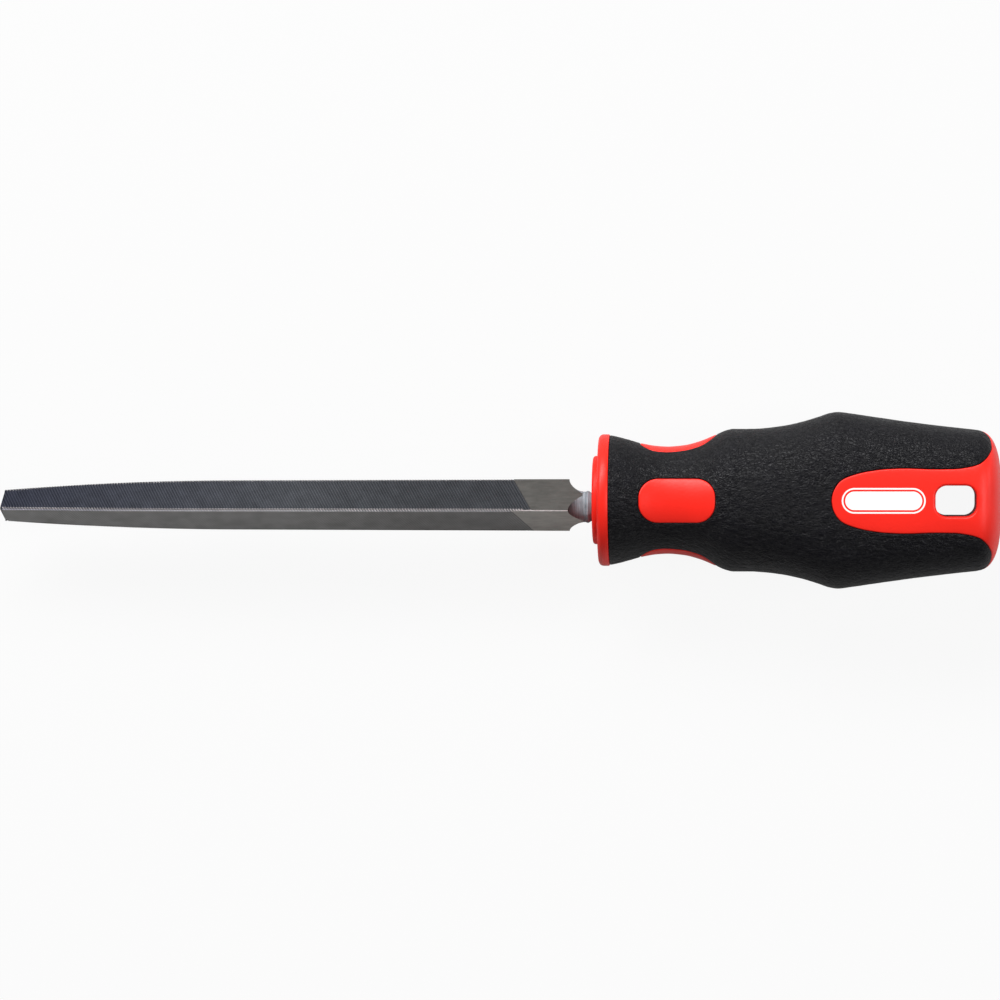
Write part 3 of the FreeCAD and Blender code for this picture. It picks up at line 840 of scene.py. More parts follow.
def side_at(place, blade):
    """Side of the blade's triangle at a place along it, in millimetres."""
    tip, belly, heel = (blade.tip_side / MM, blade.belly_side / MM, blade.heel_side / MM)
    taper = blade.taper_length / MM
    t = np.clip((place - TIP) / taper, 0.0, 1.0)
    full = np.clip((place - TIP - taper) / (blade.shoulder / MM - TIP - taper), 0.0, 1.0)
    return tip + (belly - tip) * t * (2 - t) + (heel - belly) * full


def on_blade(points, blade):
    """Turn section points of the blade by its roll and set them on the tang's line."""
    points = np.asarray(points, float)
    turn = blade.roll
    aside = points[:, 1] * math.cos(turn) - points[:, 2] * math.sin(turn)
    up = points[:, 1] * math.sin(turn) + points[:, 2] * math.cos(turn)
    return np.stack([points[:, 0], aside - blade.tang_offset / MM, up], axis=1)


def triangle_ring(place, side, land, lean=0.0):
    """Six points round the triangle, each face's end further on than its start by the lean."""
    ring = []
    half = side / 2 - land
    for angle in FACE_ANGLES:
        out = np.array((math.cos(math.radians(angle)), math.sin(math.radians(angle))))
        along = np.array((-out[1], out[0]))
        for end in (-1, 1):
            aside, up = out * side * ROOT3 / 6 + along * half * end
            ring.append((place + half * end * lean, aside, up))
    return ring


def blade_body(blade):
    """The solid under the teeth, a step up to the uncut heel, and the heel's plain lands."""
    drop = blade.gullet_depth / MM
    lost = drop * 2 * ROOT3
    lean = math.tan(blade.cut_lean)
    cut_end = blade.cut_end / MM
    shoulder = blade.shoulder / MM
    land = blade.heel_land / MM
    ground_end = triangle_ring(TIP - TIP_PROUD, side_at(TIP, blade) - lost - TIP_SMALLER,
                               BODY_LAND)
    for corner in RIDGE_CORNERS:
        place, aside, up = ground_end[corner]
        ground_end[corner] = (place - RIDGE_PROUD, aside, up)
    rings = [ground_end]
    for place in np.linspace(TIP + TIP_BEVEL, cut_end - LEAN_ROOM, BODY_RINGS):
        rings.append(triangle_ring(place, side_at(place, blade) - lost, BODY_LAND))
    cut_side = side_at(cut_end, blade)
    rings.append(triangle_ring(cut_end, cut_side - lost, BODY_LAND, lean))
    cut_steps = len(rings) - 1
    rings.append(triangle_ring(cut_end + HEEL_STEP, cut_side, land, lean))
    full_place = cut_end + LEAN_ROOM
    rings.append(triangle_ring(full_place, side_at(full_place, blade), land))
    rings.append(triangle_ring(shoulder + HEEL_OVERRUN, side_at(shoulder, blade), land))
    heel_steps = len(rings) - 1 - cut_steps
    points = on_blade([point for ring in rings for point in ring], blade)
    sides = len(rings[0])
    chosen = [CUT] * sides * cut_steps + [HEEL, LAND] * (sides // 2) * heel_steps
    return points, loft_faces(len(rings), sides), chosen + [HEEL, NECK]


def shoulder_cutter(blade):
    """A turned solid round the blade whose end is ground hollow down to the neck."""
    shoulder, radius = blade.shoulder / MM, blade.scallop_radius / MM
    neck = blade.neck_radius / MM
    hollow = arc((shoulder + radius, neck + radius), radius, 180, 270, 20)
    before, after = TIP - 5.0, shoulder + radius + 0.3
    profile = [(before, 0.0), (before, CUTTER_RADIUS), (shoulder, CUTTER_RADIUS)]
    profile += hollow.tolist() + [(after, neck), (after, 0.0)]
    points, faces = turned(profile, 96)
    return on_blade(points, blade), faces


def neck_rings(blade):
    """The neck: a softened eight-sided shape with a step, a ring and a chamfer."""
    count = 96
    angles = np.linspace(0, 2 * math.pi, count, endpoint=False)
    facet = 2 * math.pi / NECK_FACETS
    within = (angles + facet / 2) % facet - facet / 2
    flat = 1 / np.cos(within)
    points = []
    for place, radius in NECK_PROFILE:
        sided = NECK_SIDED if place < NECK_STEP else RING_SIDED
        reach = radius * (1 + (flat - 1) * sided) * (1 - 0.02 * sided)
        for angle, length in zip(angles, reach):
            points.append((place, length * math.cos(angle), length * math.sin(angle)))
    return on_blade(points, blade), loft_faces(len(NECK_PROFILE), count)


def unit_mesh(name, points, faces, crests, material):
    """A mesh to be repeated, with how near each point is to a crest."""
    mesh = bpy.data.meshes.new(name)
    mesh.from_pydata(points, [], faces)
    mesh.attributes.new("crest", "FLOAT", "POINT").data.foreach_set("value", crests)
    mesh.materials.append(material)
    return mesh


def one_tooth(blade, material):
    """One tooth over a unit half length: a steep front, a narrow crest and a long back."""
    pitch, crest = blade.pitch, blade.crest_height
    depth = blade.gullet_depth
    root = -depth - 0.1 * MM
    section = (
        (0.0, root, 0.0), (0.0, -depth, 0.0), (0.2 * pitch, crest, 1.0),
        (0.29 * pitch, crest * 0.97, 1.0), (0.62 * pitch, -depth * 0.25, 0.35),
        (1.02 * pitch, -depth, 0.0), (1.02 * pitch, root, 0.0),
    )
    stations = np.linspace(-1.0, 1.0, 9)
    points, crests = [], []
    for station in stations:
        for place, height, share in section:
            points.append((place, station, height))
            crests.append(share)
    faces = loft_faces(len(stations), len(section))
    return unit_mesh("one_tooth", points, faces, crests, material)


def one_land_flat(blade, material):
    """One bright flat between two cuts on a corner: a low block with bevelled sides."""
    length, deep = blade.pitch * 0.38, 0.4 * MM
    points = []
    for height, inset in ((-deep, 0.0), (-0.08 * MM, 0.0), (0.0, 0.16)):
        for place, aside in ((0.0, -1.0), (1.0, -1.0), (1.0, 1.0), (0.0, 1.0)):
            narrow = 1.0 - inset
            slanted = 0.5 + (place - 0.5) * narrow + 0.5 * aside
            points.append((slanted * length, aside * narrow, height))
    return unit_mesh("one_land_flat", points, loft_faces(3, 4), [1.0] * len(points), material)


def row_tree():
    """Repeats one tooth along the blade and round its three sides, following the taper."""
    group, tree, start, end = new_group(
        "rows_round_the_blade", "GeometryNodeTree",
        [("Tooth", GEOMETRY, None), ("Count", "NodeSocketInt", 10), ("First", FLOAT, 0.0),
         ("Pitch", FLOAT, 0.00075), ("Lean", FLOAT, 0.35), ("Tip", FLOAT, 0.0),
         ("Taper", FLOAT, 0.063), ("Heel", FLOAT, 0.0), ("Tip Side", FLOAT, 0.0086),
         ("Belly Side", FLOAT, 0.0135), ("Heel Side", FLOAT, 0.0141),
         ("Land", FLOAT, 0.0005), ("Height Share", FLOAT, 0.2887),
         ("Height Less", FLOAT, 0.0), ("Width Share", FLOAT, 0.5),
         ("Width Less", FLOAT, 1.0), ("First Turn", FLOAT, 0.0), ("Offset", FLOAT, 0.0),
         ("Axis", FLOAT, 0.0174), ("Unevenness", FLOAT, 0.1), ("Seed", "NodeSocketInt", 1),
         ("Steel", "NodeSocketMaterial", None)],
        [("Blade", GEOMETRY)])
    point = tree.add("ShaderNodeCombineXYZ", X=start["First"])
    step = tree.add("ShaderNodeCombineXYZ", X=start["Pitch"])
    line = tree.add("GeometryNodeMeshLine", {"mode": "OFFSET"}, Count=start["Count"],
                    Start_Location=point.outputs[0], Offset=step.outputs[0])
    less = tree.math("SUBTRACT", 1.0, start["Unevenness"])
    more = tree.math("ADD", 1.0, start["Unevenness"])
    uneven = tree.add("FunctionNodeRandomValue", {"data_type": "FLOAT"})
    for socket in uneven.inputs:
        if socket.enabled and socket.name == "Min":
            tree.put(socket, less)
        elif socket.enabled and socket.name == "Max":
            tree.put(socket, more)
        elif socket.name == "Seed":
            tree.put(socket, start["Seed"])
    heights = [item for item in uneven.outputs if item.enabled][0]
    scale = tree.add("ShaderNodeCombineXYZ", X=1.0, Y=1.0, Z=heights)
    rows = tree.add("GeometryNodeInstanceOnPoints", Points=line.outputs[0],
                    Instance=start["Tooth"], Scale=scale.outputs[0])
    solid = tree.add("GeometryNodeRealizeInstances", Geometry=rows.outputs[0])
    here = tree.add("GeometryNodeInputPosition").outputs[0]
    across, unit, height = tree.axes(here)

    def side_of(place):
        from_tip = tree.math("SUBTRACT", place, start["Tip"])
        share = tree.math("DIVIDE", from_tip, start["Taper"])
        share = tree.math("MAXIMUM", tree.math("MINIMUM", share, 1.0), 0.0)
        grown = tree.math("MULTIPLY", share, tree.math("SUBTRACT", 2.0, share))
        rise = tree.math("SUBTRACT", start["Belly Side"], start["Tip Side"])
        side = tree.math("ADD", start["Tip Side"], tree.math("MULTIPLY", rise, grown))
        rest = tree.math("SUBTRACT", tree.math("SUBTRACT", start["Heel"], start["Tip"]),
                         start["Taper"])
        later = tree.math("SUBTRACT", from_tip, start["Taper"])
        full = tree.math("MAXIMUM", tree.math("DIVIDE", later, rest), 0.0)
        more_side = tree.math("SUBTRACT", start["Heel Side"], start["Belly Side"])
        return tree.math("ADD", side, tree.math("MULTIPLY", full, more_side))

    def less_land(side, share, land_share):
        kept = tree.math("MULTIPLY", start["Land"], start[land_share])
        return tree.math("SUBTRACT", tree.math("MULTIPLY", side, start[share]), kept)

    # A leaning row's ends stand where the blade is wider or narrower, so the side is found anew.
    place = across
    for _ in range(3):
        side = side_of(place)
        wide = tree.math("MULTIPLY", unit, less_land(side, "Width Share", "Width Less"))
        place = tree.math("ADD", across, tree.math("MULTIPLY", wide, start["Lean"]))
    inner_tip = tree.math("SUBTRACT", start["Tip"], TIP_OVERHANG * MM)
    place = tree.math("MAXIMUM", place, inner_tip)
    out = tree.math("ADD", less_land(side, "Height Share", "Height Less"), height)
    moved = tree.add("ShaderNodeCombineXYZ", X=place, Y=tree.math("MULTIPLY", wide, -1.0), Z=out)
    on_face = tree.add("GeometryNodeSetPosition", Geometry=solid.outputs[0],
                       Position=moved.outputs[0])
    centre = tree.add("ShaderNodeCombineXYZ", Y=start["Offset"], Z=start["Axis"])
    three = tree.add("GeometryNodeMeshLine", {"mode": "OFFSET"}, Count=3,
                     Start_Location=centre.outputs[0], Offset=(0.0, 0.0, 0.0))
    index = tree.add("GeometryNodeInputIndex").outputs[0]
    third = tree.math("MULTIPLY", index, 2 * math.pi / 3)
    turn = tree.add("ShaderNodeCombineXYZ", X=tree.math("ADD", third, start["First Turn"]))
    sides = tree.add("GeometryNodeInstanceOnPoints", Points=three.outputs[0],
                     Instance=on_face.outputs[0], Rotation=turn.outputs[0])
    joined = tree.add("GeometryNodeRealizeInstances", Geometry=sides.outputs[0])
    finished = tree.add("GeometryNodeSetMaterial", Geometry=joined.outputs[0],
                        Material=start["Steel"])
    tree.put(end["Blade"], finished.outputs[0])
    return group


def make_plain(piece, modifier):
    """Turn what the modifier makes into the piece's own plain mesh."""
    bpy.context.view_layer.update()
    evaluated = piece.evaluated_get(bpy.context.evaluated_depsgraph_get())
    mesh = bpy.data.meshes.new_from_object(evaluated)
    piece.modifiers.remove(modifier)
    piece.data = mesh
    return piece


def run_tree(name, mesh, group, values):
    """The mesh put through a node tree and turned into a plain mesh again."""
    host = bpy.data.objects.new(name, mesh)
    bpy.context.scene.collection.objects.link(host)
    modifier = host.modifiers.new("rows", "NODES")
    modifier.node_group = group
    for item in group.interface.items_tree:
        if item.in_out == "INPUT" and item.name in values:
            modifier[item.identifier] = values[item.name]
    return make_plain(host, modifier)


def join_pieces(pieces, name):
    """All pieces as one object, the first one's."""
    with bpy.context.temp_override(active_object=pieces[0], object=pieces[0],
                                   selected_objects=pieces, selected_editable_objects=pieces):
        bpy.ops.object.join()
    pieces[0].name = name
    pieces[0].data.name = name
    return pieces[0]


def intersect(piece, cutter):
    """What the piece and the cutter share; the cutter is used up."""
    modifier = piece.modifiers.new("ground", "BOOLEAN")
    modifier.operation = "INTERSECT"
    modifier.solver = "EXACT"
    modifier.object = cutter
    modifier.material_mode = "TRANSFER"
    make_plain(piece, modifier)
    bpy.data.objects.remove(cutter)
    return piece


def blade_values(blade):
    """The node tree's inputs that the teeth and the lands share."""
    return {
        "Pitch": blade.pitch, "Lean": math.tan(blade.cut_lean),
        "Tip": (FRONT + TIP) * MM, "Taper": blade.taper_length,
        "Heel": FRONT * MM + blade.shoulder, "Tip Side": blade.tip_side,
        "Belly Side": blade.belly_side, "Heel Side": blade.heel_side, "Land": blade.land,
        "Offset": -blade.tang_offset, "Axis": AXIS * MM,
    }


def build_blade(blade):
    steels = [finish(make) for make in (cut_steel, heel_steel, land_steel, neck_steel)]
    points, faces, chosen = blade_body(blade)
    body = new_piece("file_blade_solid", points, faces, steels, chosen)
    cutter_points, cutter_faces = shoulder_cutter(blade)
    cutter = new_piece("shoulder_cutter", cutter_points, cutter_faces, steels,
                       [NECK] * len(cutter_faces))
    body = intersect(body, cutter)
    neck_points, neck_faces = neck_rings(blade)
    neck = new_piece("neck", neck_points, neck_faces, steels, [NECK] * len(neck_faces))
    group = row_tree()
    cut_length = blade.cut_end / MM - TIP
    lead = blade.tip_side / MM / 2 * math.tan(blade.cut_lean)
    pitch = blade.pitch / MM
    rows = int((cut_length + lead) / pitch)
    first = FRONT * MM + blade.cut_end - rows * blade.pitch
    face_values = blade_values(blade)
    face_values.update({
        "Count": rows, "First": first, "Height Share": ROOT3 / 6, "Height Less": 0.0,
        "Width Share": 0.5, "Width Less": 0.92, "First Turn": blade.roll + math.pi / 3,
        "Unevenness": 0.12, "Seed": 3, "Steel": steels[CUT],
    })
    teeth = run_tree("teeth", one_tooth(blade, steels[CUT]), group, face_values)
    corner_values = blade_values(blade)
    corner_values.update({
        "Count": int(cut_length / pitch) + 2, "First": (FRONT + TIP) * MM,
        "Height Share": ROOT3 / 3, "Height Less": ROOT3 / 2, "Width Share": 0.0,
        "Width Less": -0.86, "First Turn": blade.roll, "Unevenness": 0.05, "Seed": 8,
        "Steel": steels[LAND],
    })
    lands = run_tree("lands", one_land_flat(blade, steels[LAND]), group, corner_values)
    whole = join_pieces([body, neck, teeth, lands], "file_blade_cut")
    return finish_piece(whole, math.radians(30))


# ------------------------------------------------------------------ the handle

# Rounded lips at the windows and the eye, and the depths of the rows of points that draw them.
LIP_STEPS = (0.05, 0.12, 0.22, 0.36)
LIP_ROUND = 0.34
EYE_STEPS = (0.06, 0.15, 0.3, 0.5, 0.7)
EYE_ROUND = 0.7
EYE_CLEAR = 0.85
EYE_WALL_ROWS = 6

# The grip's wall, the gap at its windows, and where its grain fades in from their lips.
FRONT_ROW = 0.12
GRIP_WALL = 2.5
GRIP_INSIDE = 0.05 - GRIP_WALL
GRIP_CLEAR = LIP_STEPS[-1] + 0.14
INSIDE_CELL = 2.2
INSIDE_CLEAR = 1.3
SEAM_GAP = 0.06
GRAIN_START = 0.3
GRAIN_FADE = 0.8
FOLD_DEPTH = 0.1
FOLD_WIDTH = 0.22

# The core's skin: its low crown in the windows, and cells that are wider where it is hidden.
CORE_START = FRONT_ROW + 0.05
CORE_CLEAR = LIP_STEPS[-1] + 0.2
CROWN = 0.07
CROWN_REACH = 1.2
ROW_STRETCH = 1.4
HIDDEN_STRETCH = 3
HIDDEN_CLEAR = 0.8
SEAM_SPACING = 1.5
BORDER = 0.5
END_SHARE = 0.42
END_ROWS = 9
END_SWELL = 0.12
FLANGE_ROUND = 1.3
FLANGE_BACK = ((FRONT_ROW + 2.8, 17.0), (2.84, 17.25), (2.6, FLAT_HALF))
FLANGE_SEAT = ((0.0, 12.1), (0.25, 11.85), (2.0, 11.85))


def lip(depth, radius):
    """Drop of an edge's rounding at a depth into the surface."""
    inwards = np.clip(radius - depth, 0.0, radius)
    return np.sqrt(np.maximum(radius ** 2 - inwards ** 2, 0.0)) - radius


def grain_height(points, share):
    """Low moulded wrinkles, drawn out along the handle."""
    heights = np.zeros(len(points))
    for index, (point, amount) in enumerate(zip(points, share)):
        if amount > 0.0:
            place = Vector(point)
            place.x *= 0.65
            coarse = noise.noise(place * 0.5 + Vector((7.0, 1.0, 3.0)))
            ridged = abs(noise.noise(place * 1.2 + Vector((1.0, 9.0, 2.0))))
            fold = max(FOLD_WIDTH - ridged, 0.0) / FOLD_WIDTH
            heights[index] = amount * (0.04 * coarse - FOLD_DEPTH * fold)
    return heights


class Shell:
    """A mesh that grows by rows of points."""

    def __init__(self, points, faces):
        self.points = [points]
        self.faces = list(map(tuple, faces))
        self.count = len(points)

    def add(self, row):
        """New points; gives their indices."""
        self.points.append(row)
        self.count += len(row)
        return np.arange(self.count - len(row), self.count)

    def join(self, before, now):
        """Quads between two rows of the same size."""
        self.faces += zip(before, before[1:], now[1:], now)

    def close(self, row, pole):
        """Triangles from a row that runs once round to a pole on the axis."""
        top = self.add(np.array([[pole, 0.0, 0.0]]))[0]
        self.faces += [(start, end, top) for start, end in zip(row, row[1:])]

    def piece(self, name, material):
        return new_piece(name, np.vstack(self.points), self.faces, [material])


def window_outlines():
    """The edges between black and red: the pads' windows, and last the grip's rear edge."""
    return [(line, True) for line in pad_outlines()] + [(panel_outline(), False)]


def in_black(lines, points):
    """True for the points that the grip covers, where the windows and rear edge are lines."""
    ahead = FRONT_ROW - 1.0
    covered = np.vstack([[(ahead, 0.0)], lines[-1][0], [(ahead, FULL_ROUND)]])
    black = inside(covered, points)
    for hole, closed in lines[:-1]:
        black &= ~inside(hole, points)
    return black


def row_round(way, columns):
    """A row of the unrolled skin that runs once round."""
    return np.stack([np.full(columns + 1, way), np.linspace(0.0, FULL_ROUND, columns + 1)],
                    axis=1)


def build_grip(handle):
    """The black grip: a shell with rounded lips at its windows and a fine wrinkled skin."""
    edges = [(step_line(line, closed, -SEAM_GAP), closed)
             for line, closed in window_outlines()]
    front = row_round(FRONT_ROW, int(round(FULL_ROUND / handle.grip_cell * MM)))
    finder = near_lines(edges)

    def seeded(spacing, keep_off, steps):
        """Points between the edges, with rows that follow each edge, and their depths."""
        seeds = grid(FRONT_ROW, float(edges[-1][0][:, 0].max()), spacing)
        off = distances(finder, seeds)
        keep = in_black(edges, off_seam(seeds)) & (off > keep_off)
        seeds = seeds[keep & (seeds[:, 0] > FRONT_ROW + keep_off)]
        rows, depths = [seeds], [distances(finder, seeds)]
        for step in steps:
            followed = [step_line(line, closed, -step) for line, closed in edges]
            for row in followed + [front + (step, 0.0)]:
                rows.append(row)
                depths.append(np.full(len(row), step))
        return np.vstack(rows), np.concatenate(depths)

    def black_faces(flat, faces):
        return faces[in_black(edges, flat[faces].mean(axis=1))]

    lines = edges + [(front, False)]
    line_count = sum(len(line) for line, closed in lines)
    extra, depth = seeded(handle.grip_cell / MM, GRIP_CLEAR, LIP_STEPS)
    flat, faces = triangulate(lines, extra)
    depth = np.concatenate([np.zeros(line_count), depth])
    depth = np.minimum(depth, np.maximum(flat[:, 0] - FRONT_ROW, 0.0))
    turn = turn_of(flat[:, 1])
    rough = np.clip((depth - GRAIN_START) / GRAIN_FADE, 0.0, 1.0)
    height = lip(depth, LIP_ROUND) + grain_height(skin(flat[:, 0], turn), rough)
    shell = Shell(skin(flat[:, 0], turn, height), black_faces(flat, faces))
    flat, faces = triangulate(lines, seeded(INSIDE_CELL, INSIDE_CLEAR, ())[0])
    inner = shell.add(skin(flat[:, 0], turn_of(flat[:, 1]), GRIP_INSIDE))
    shell.faces += map(tuple, inner[black_faces(flat, faces)])
    for row in line_rows(lines):
        shell.join(row, inner[row])
    return shell.piece("grip_shell", finish(grip_rubber))


def core_points(cell, stop, outlines, eyes, finder, eye_finder):
    """Points that divide the core's skin, fine where it is red and coarse under the grip."""
    start = CORE_START

    def seeds(spacing, wanted_red, keep_off):
        points = grid(start, stop, spacing)
        keep = in_black(outlines, off_seam(points)) != wanted_red
        keep &= distances(finder, points) > keep_off
        keep &= distances(eye_finder, points) > EYE_CLEAR
        for line, closed in eyes:
            keep &= ~inside(line, points)
        keep &= (points[:, 0] >= start + BORDER) & (points[:, 0] <= stop - BORDER)
        return points[keep]

    extra = [seeds(cell, True, CORE_CLEAR),
             seeds(cell * HIDDEN_STRETCH, False, HIDDEN_CLEAR)]
    column = np.arange(start + 2.0, stop - BORDER, SEAM_SPACING)
    for side in (0.0, FULL_ROUND):
        edge = np.stack([column, np.full(len(column), side)], axis=1)
        extra.append(edge[distances(finder, edge) > BORDER])
    for line, closed in outlines:
        extra += [step_line(line, closed, step) for step in (-LIP_STEPS[0],) + LIP_STEPS]
    for line, closed in eyes:
        extra += [step_line(line, closed, -step) for step in EYE_STEPS]
    return np.vstack(extra)


def core_height(flat, outlines, finder, eye_finder):
    """Full height in the windows, a wall's thickness less under the grip, rounded at the eye."""
    on_outline = np.arange(len(flat)) < sum(len(line) for line, closed in outlines)
    red = on_outline | ~in_black(outlines, off_seam(flat))
    depth = np.where(on_outline, 0.0, distances(finder, flat))
    height = np.where(red, lip(depth, LIP_ROUND), -GRIP_WALL)
    height += np.where(red, CROWN * (1 - np.exp(-depth / CROWN_REACH)), 0.0)
    return height + lip(distances(eye_finder, flat), EYE_ROUND)


def add_eye_wall(shell, top, bottom):
    """The hanging eye's wall, from its outline on the top to that on the bottom."""
    high, low = shell.points[0][top], shell.points[0][bottom]
    before = top
    for row in range(1, EYE_WALL_ROWS):
        points = high + (low - high) * row / EYE_WALL_ROWS
        now = shell.add(points[:-1])
        now = np.append(now, now[0])
        shell.join(before, now)
        before = now
    shell.join(before, bottom)


def add_flange(shell, before, turn):
    """The round flange at the front, with a seat for the boss."""
    rounding = arc((FLANGE_ROUND, FLAT_HALF - FLANGE_ROUND), FLANGE_ROUND, 180, 90, 9)
    for place, radius in (*FLANGE_BACK, *rounding[::-1].tolist(), *FLANGE_SEAT):
        now = shell.add(np.stack([np.full(len(turn), place), radius * np.sin(turn),
                                  radius * np.cos(turn)], axis=1))
        shell.join(before, now)
        before = now
    shell.close(before, FLANGE_SEAT[-1][0])


def add_end(shell, before, turn, stop):
    """The handle's rounded end, drawn in to a pole."""
    for way in np.linspace(stop, WAY[-1], END_ROWS)[1:-1]:
        now = shell.add(skin(np.full(len(turn), way), turn, END_SWELL))
        shell.join(before, now)
        before = now
    shell.close(before, HANDLE_LENGTH + 0.1)


def build_core(handle):
    """The red core: pads and rear panels that fill the grip's windows, flange and end."""
    outlines = window_outlines()
    eyes = [(line, True) for line in eye_outlines()]
    finders = near_lines(outlines), near_lines(eyes)
    stop = float(np.interp(END_SHARE, SHARE[::-1], WAY[::-1]))
    cell = handle.core_cell / MM
    columns = int(round(FULL_ROUND / (cell * ROW_STRETCH)))
    ends = [(row_round(way, columns), False) for way in (CORE_START, stop)]
    lines = outlines + eyes + ends
    flat, faces = triangulate(lines, core_points(cell, stop, outlines, eyes, *finders))
    middle = flat[faces].mean(axis=1)
    in_eye = inside(eyes[0][0], middle) | inside(eyes[1][0], middle)
    height = core_height(flat, outlines, *finders)
    shell = Shell(skin(flat[:, 0], turn_of(flat[:, 1]), height), faces[~in_eye])
    eye_top, eye_bottom, first_row, last_row = line_rows(lines)[-4:]
    turn = turn_of(ends[0][0][:, 1])
    add_eye_wall(shell, eye_top, eye_bottom)
    add_flange(shell, first_row, turn)
    add_end(shell, last_row, turn, stop)
    return shell.piece("handle_core_moulded", finish(core_plastic))


SOCKET_PROFILE = (
    (-1.0, 0.0), (-1.0, 3.9), (-1.35, 4.15), (-1.55, 4.6), (-1.55, 10.7), (-1.5, 11.1),
    (-1.32, 11.45), (-1.0, 11.65), (-0.6, 11.7), (1.9, 11.7), (1.9, 0.0),
)


def build_socket():
    """The red socket boss round the tang."""
    points, faces = turned(SOCKET_PROFILE, 160)
    return new_piece("tang_socket_boss", points, faces, [finish(socket_plastic)])


# ------------------------------------------------------------------ stage

FLOOR_WHITE = 0.92
GLOSS_WHITE = 0.12
FLOOR_HALF = 4.0
PLAIN_WHITE = (1.0, 1.0, 1.0, 1.0)


def share_of_white(tree, to_camera, to_gloss):
    """How much of the plain white the camera sees, and what is seen in gloss and glass."""
    ray = tree.add("ShaderNodeLightPath").outputs
    camera = tree.math("MULTIPLY", ray["Is Camera Ray"], to_camera)
    mirrored = tree.math("MAXIMUM", ray["Is Glossy Ray"], ray["Is Transmission Ray"])
    return tree.math("MAXIMUM", camera, tree.math("MULTIPLY", mirrored, to_gloss))


def floor_finish(stage):
    material = bpy.data.materials.new("pale_floor")
    material.use_nodes = True
    material.node_tree.nodes.clear()
    tree = Tree(material.node_tree)
    plain = tree.add("ShaderNodeBsdfDiffuse", Color=tuple(stage.floor_colour))
    white = tree.add("ShaderNodeEmission", Color=PLAIN_WHITE, Strength=1.0)
    mix = tree.add("ShaderNodeMixShader", Fac=share_of_white(tree, FLOOR_WHITE, GLOSS_WHITE))
    tree.put(mix.inputs[1], plain.outputs[0])
    tree.put(mix.inputs[2], white.outputs[0])
    tree.add("ShaderNodeOutputMaterial", Surface=mix.outputs[0])
    return material


def light_world(stage):
    world = bpy.data.worlds.new("studio")
    bpy.context.scene.world = world
    world.use_nodes = True
    world.node_tree.nodes.clear()
    tree = Tree(world.node_tree)
    soft = tree.add("ShaderNodeBackground", Color=PLAIN_WHITE, Strength=stage.sky_strength)
    white = tree.add("ShaderNodeBackground", Color=PLAIN_WHITE, Strength=1.0)
    ray = tree.add("ShaderNodeLightPath").outputs["Is Camera Ray"]
    mix = tree.add("ShaderNodeMixShader", Fac=ray)
    tree.put(mix.inputs[1], soft.outputs[0])
    tree.put(mix.inputs[2], white.outputs[0])
    tree.add("ShaderNodeOutputWorld", Surface=mix.outputs[0])


def soft_box(name, place, aim, width, height, power):
    data = bpy.data.lights.new(name, "AREA")
    data.shape = "RECTANGLE"
    data.size, data.size_y = width, height
    data.energy = power
    lamp = bpy.data.objects.new(name, data)
    lamp.location = place
    lamp.rotation_euler = (Vector(aim) - Vector(place)).to_track_quat("-Z", "Y").to_euler()
    bpy.context.scene.collection.objects.link(lamp)


def build_stage(stage):
    scene = bpy.context.scene
    data = bpy.data.cameras.new("view_from_above")
    data.sensor_width = 36.0
    data.lens = data.sensor_width * stage.distance / stage.view_width
    data.clip_end = 20.0
    camera = bpy.data.objects.new("view_from_above", data)
    lean, tilt = stage.lean, stage.tilt
    aim = Vector((stage.aim, 0.0, AXIS * MM))
    towards = Vector((math.cos(tilt) * math.sin(lean), math.sin(tilt),
                      math.cos(tilt) * math.cos(lean)))
    camera.location = aim + towards * stage.distance
    camera.rotation_euler = (-tilt, lean, 0.0)
    scene.collection.objects.link(camera)
    scene.camera = camera
    scene.view_settings.view_transform = "Standard"
    corners = [(side * FLOOR_HALF, end * FLOOR_HALF, 0.0)
               for side, end in ((-1, -1), (1, -1), (1, 1), (-1, 1))]
    mesh = bpy.data.meshes.new("floor")
    mesh.from_pydata(corners, [], [(0, 1, 2, 3)])
    mesh.materials.append(floor_finish(stage))
    floor = bpy.data.objects.new("floor", mesh)
    scene.collection.objects.link(floor)
    light_world(stage)
    target = (0.0, 0.0, AXIS * MM)
    soft_box("key_softbox", (-0.4, 1.05, 0.9), target, 1.5, 0.4, stage.key_power)
    soft_box("top_softbox", (1.0, 0.05, 1.15), target, 0.5, 0.5, stage.top_power)
    soft_box("end_strip", (1.25, 0.2, 0.3), (0.1, 0.0, 0.02), 0.35, 0.35, stage.end_power)


# ------------------------------------------------------------------ settings

def length(name, description, millimetres):
    return bpy.props.FloatProperty(name=name, description=description, unit="LENGTH",
                                   subtype="DISTANCE", precision=5,
                                   default=millimetres * MM)


def colour(name, description, red, green, blue):
    return bpy.props.FloatVectorProperty(name=name, description=description, size=4,
                                         subtype="COLOR", min=0.0, max=1.0,
                                         default=(red, green, blue, 1.0))


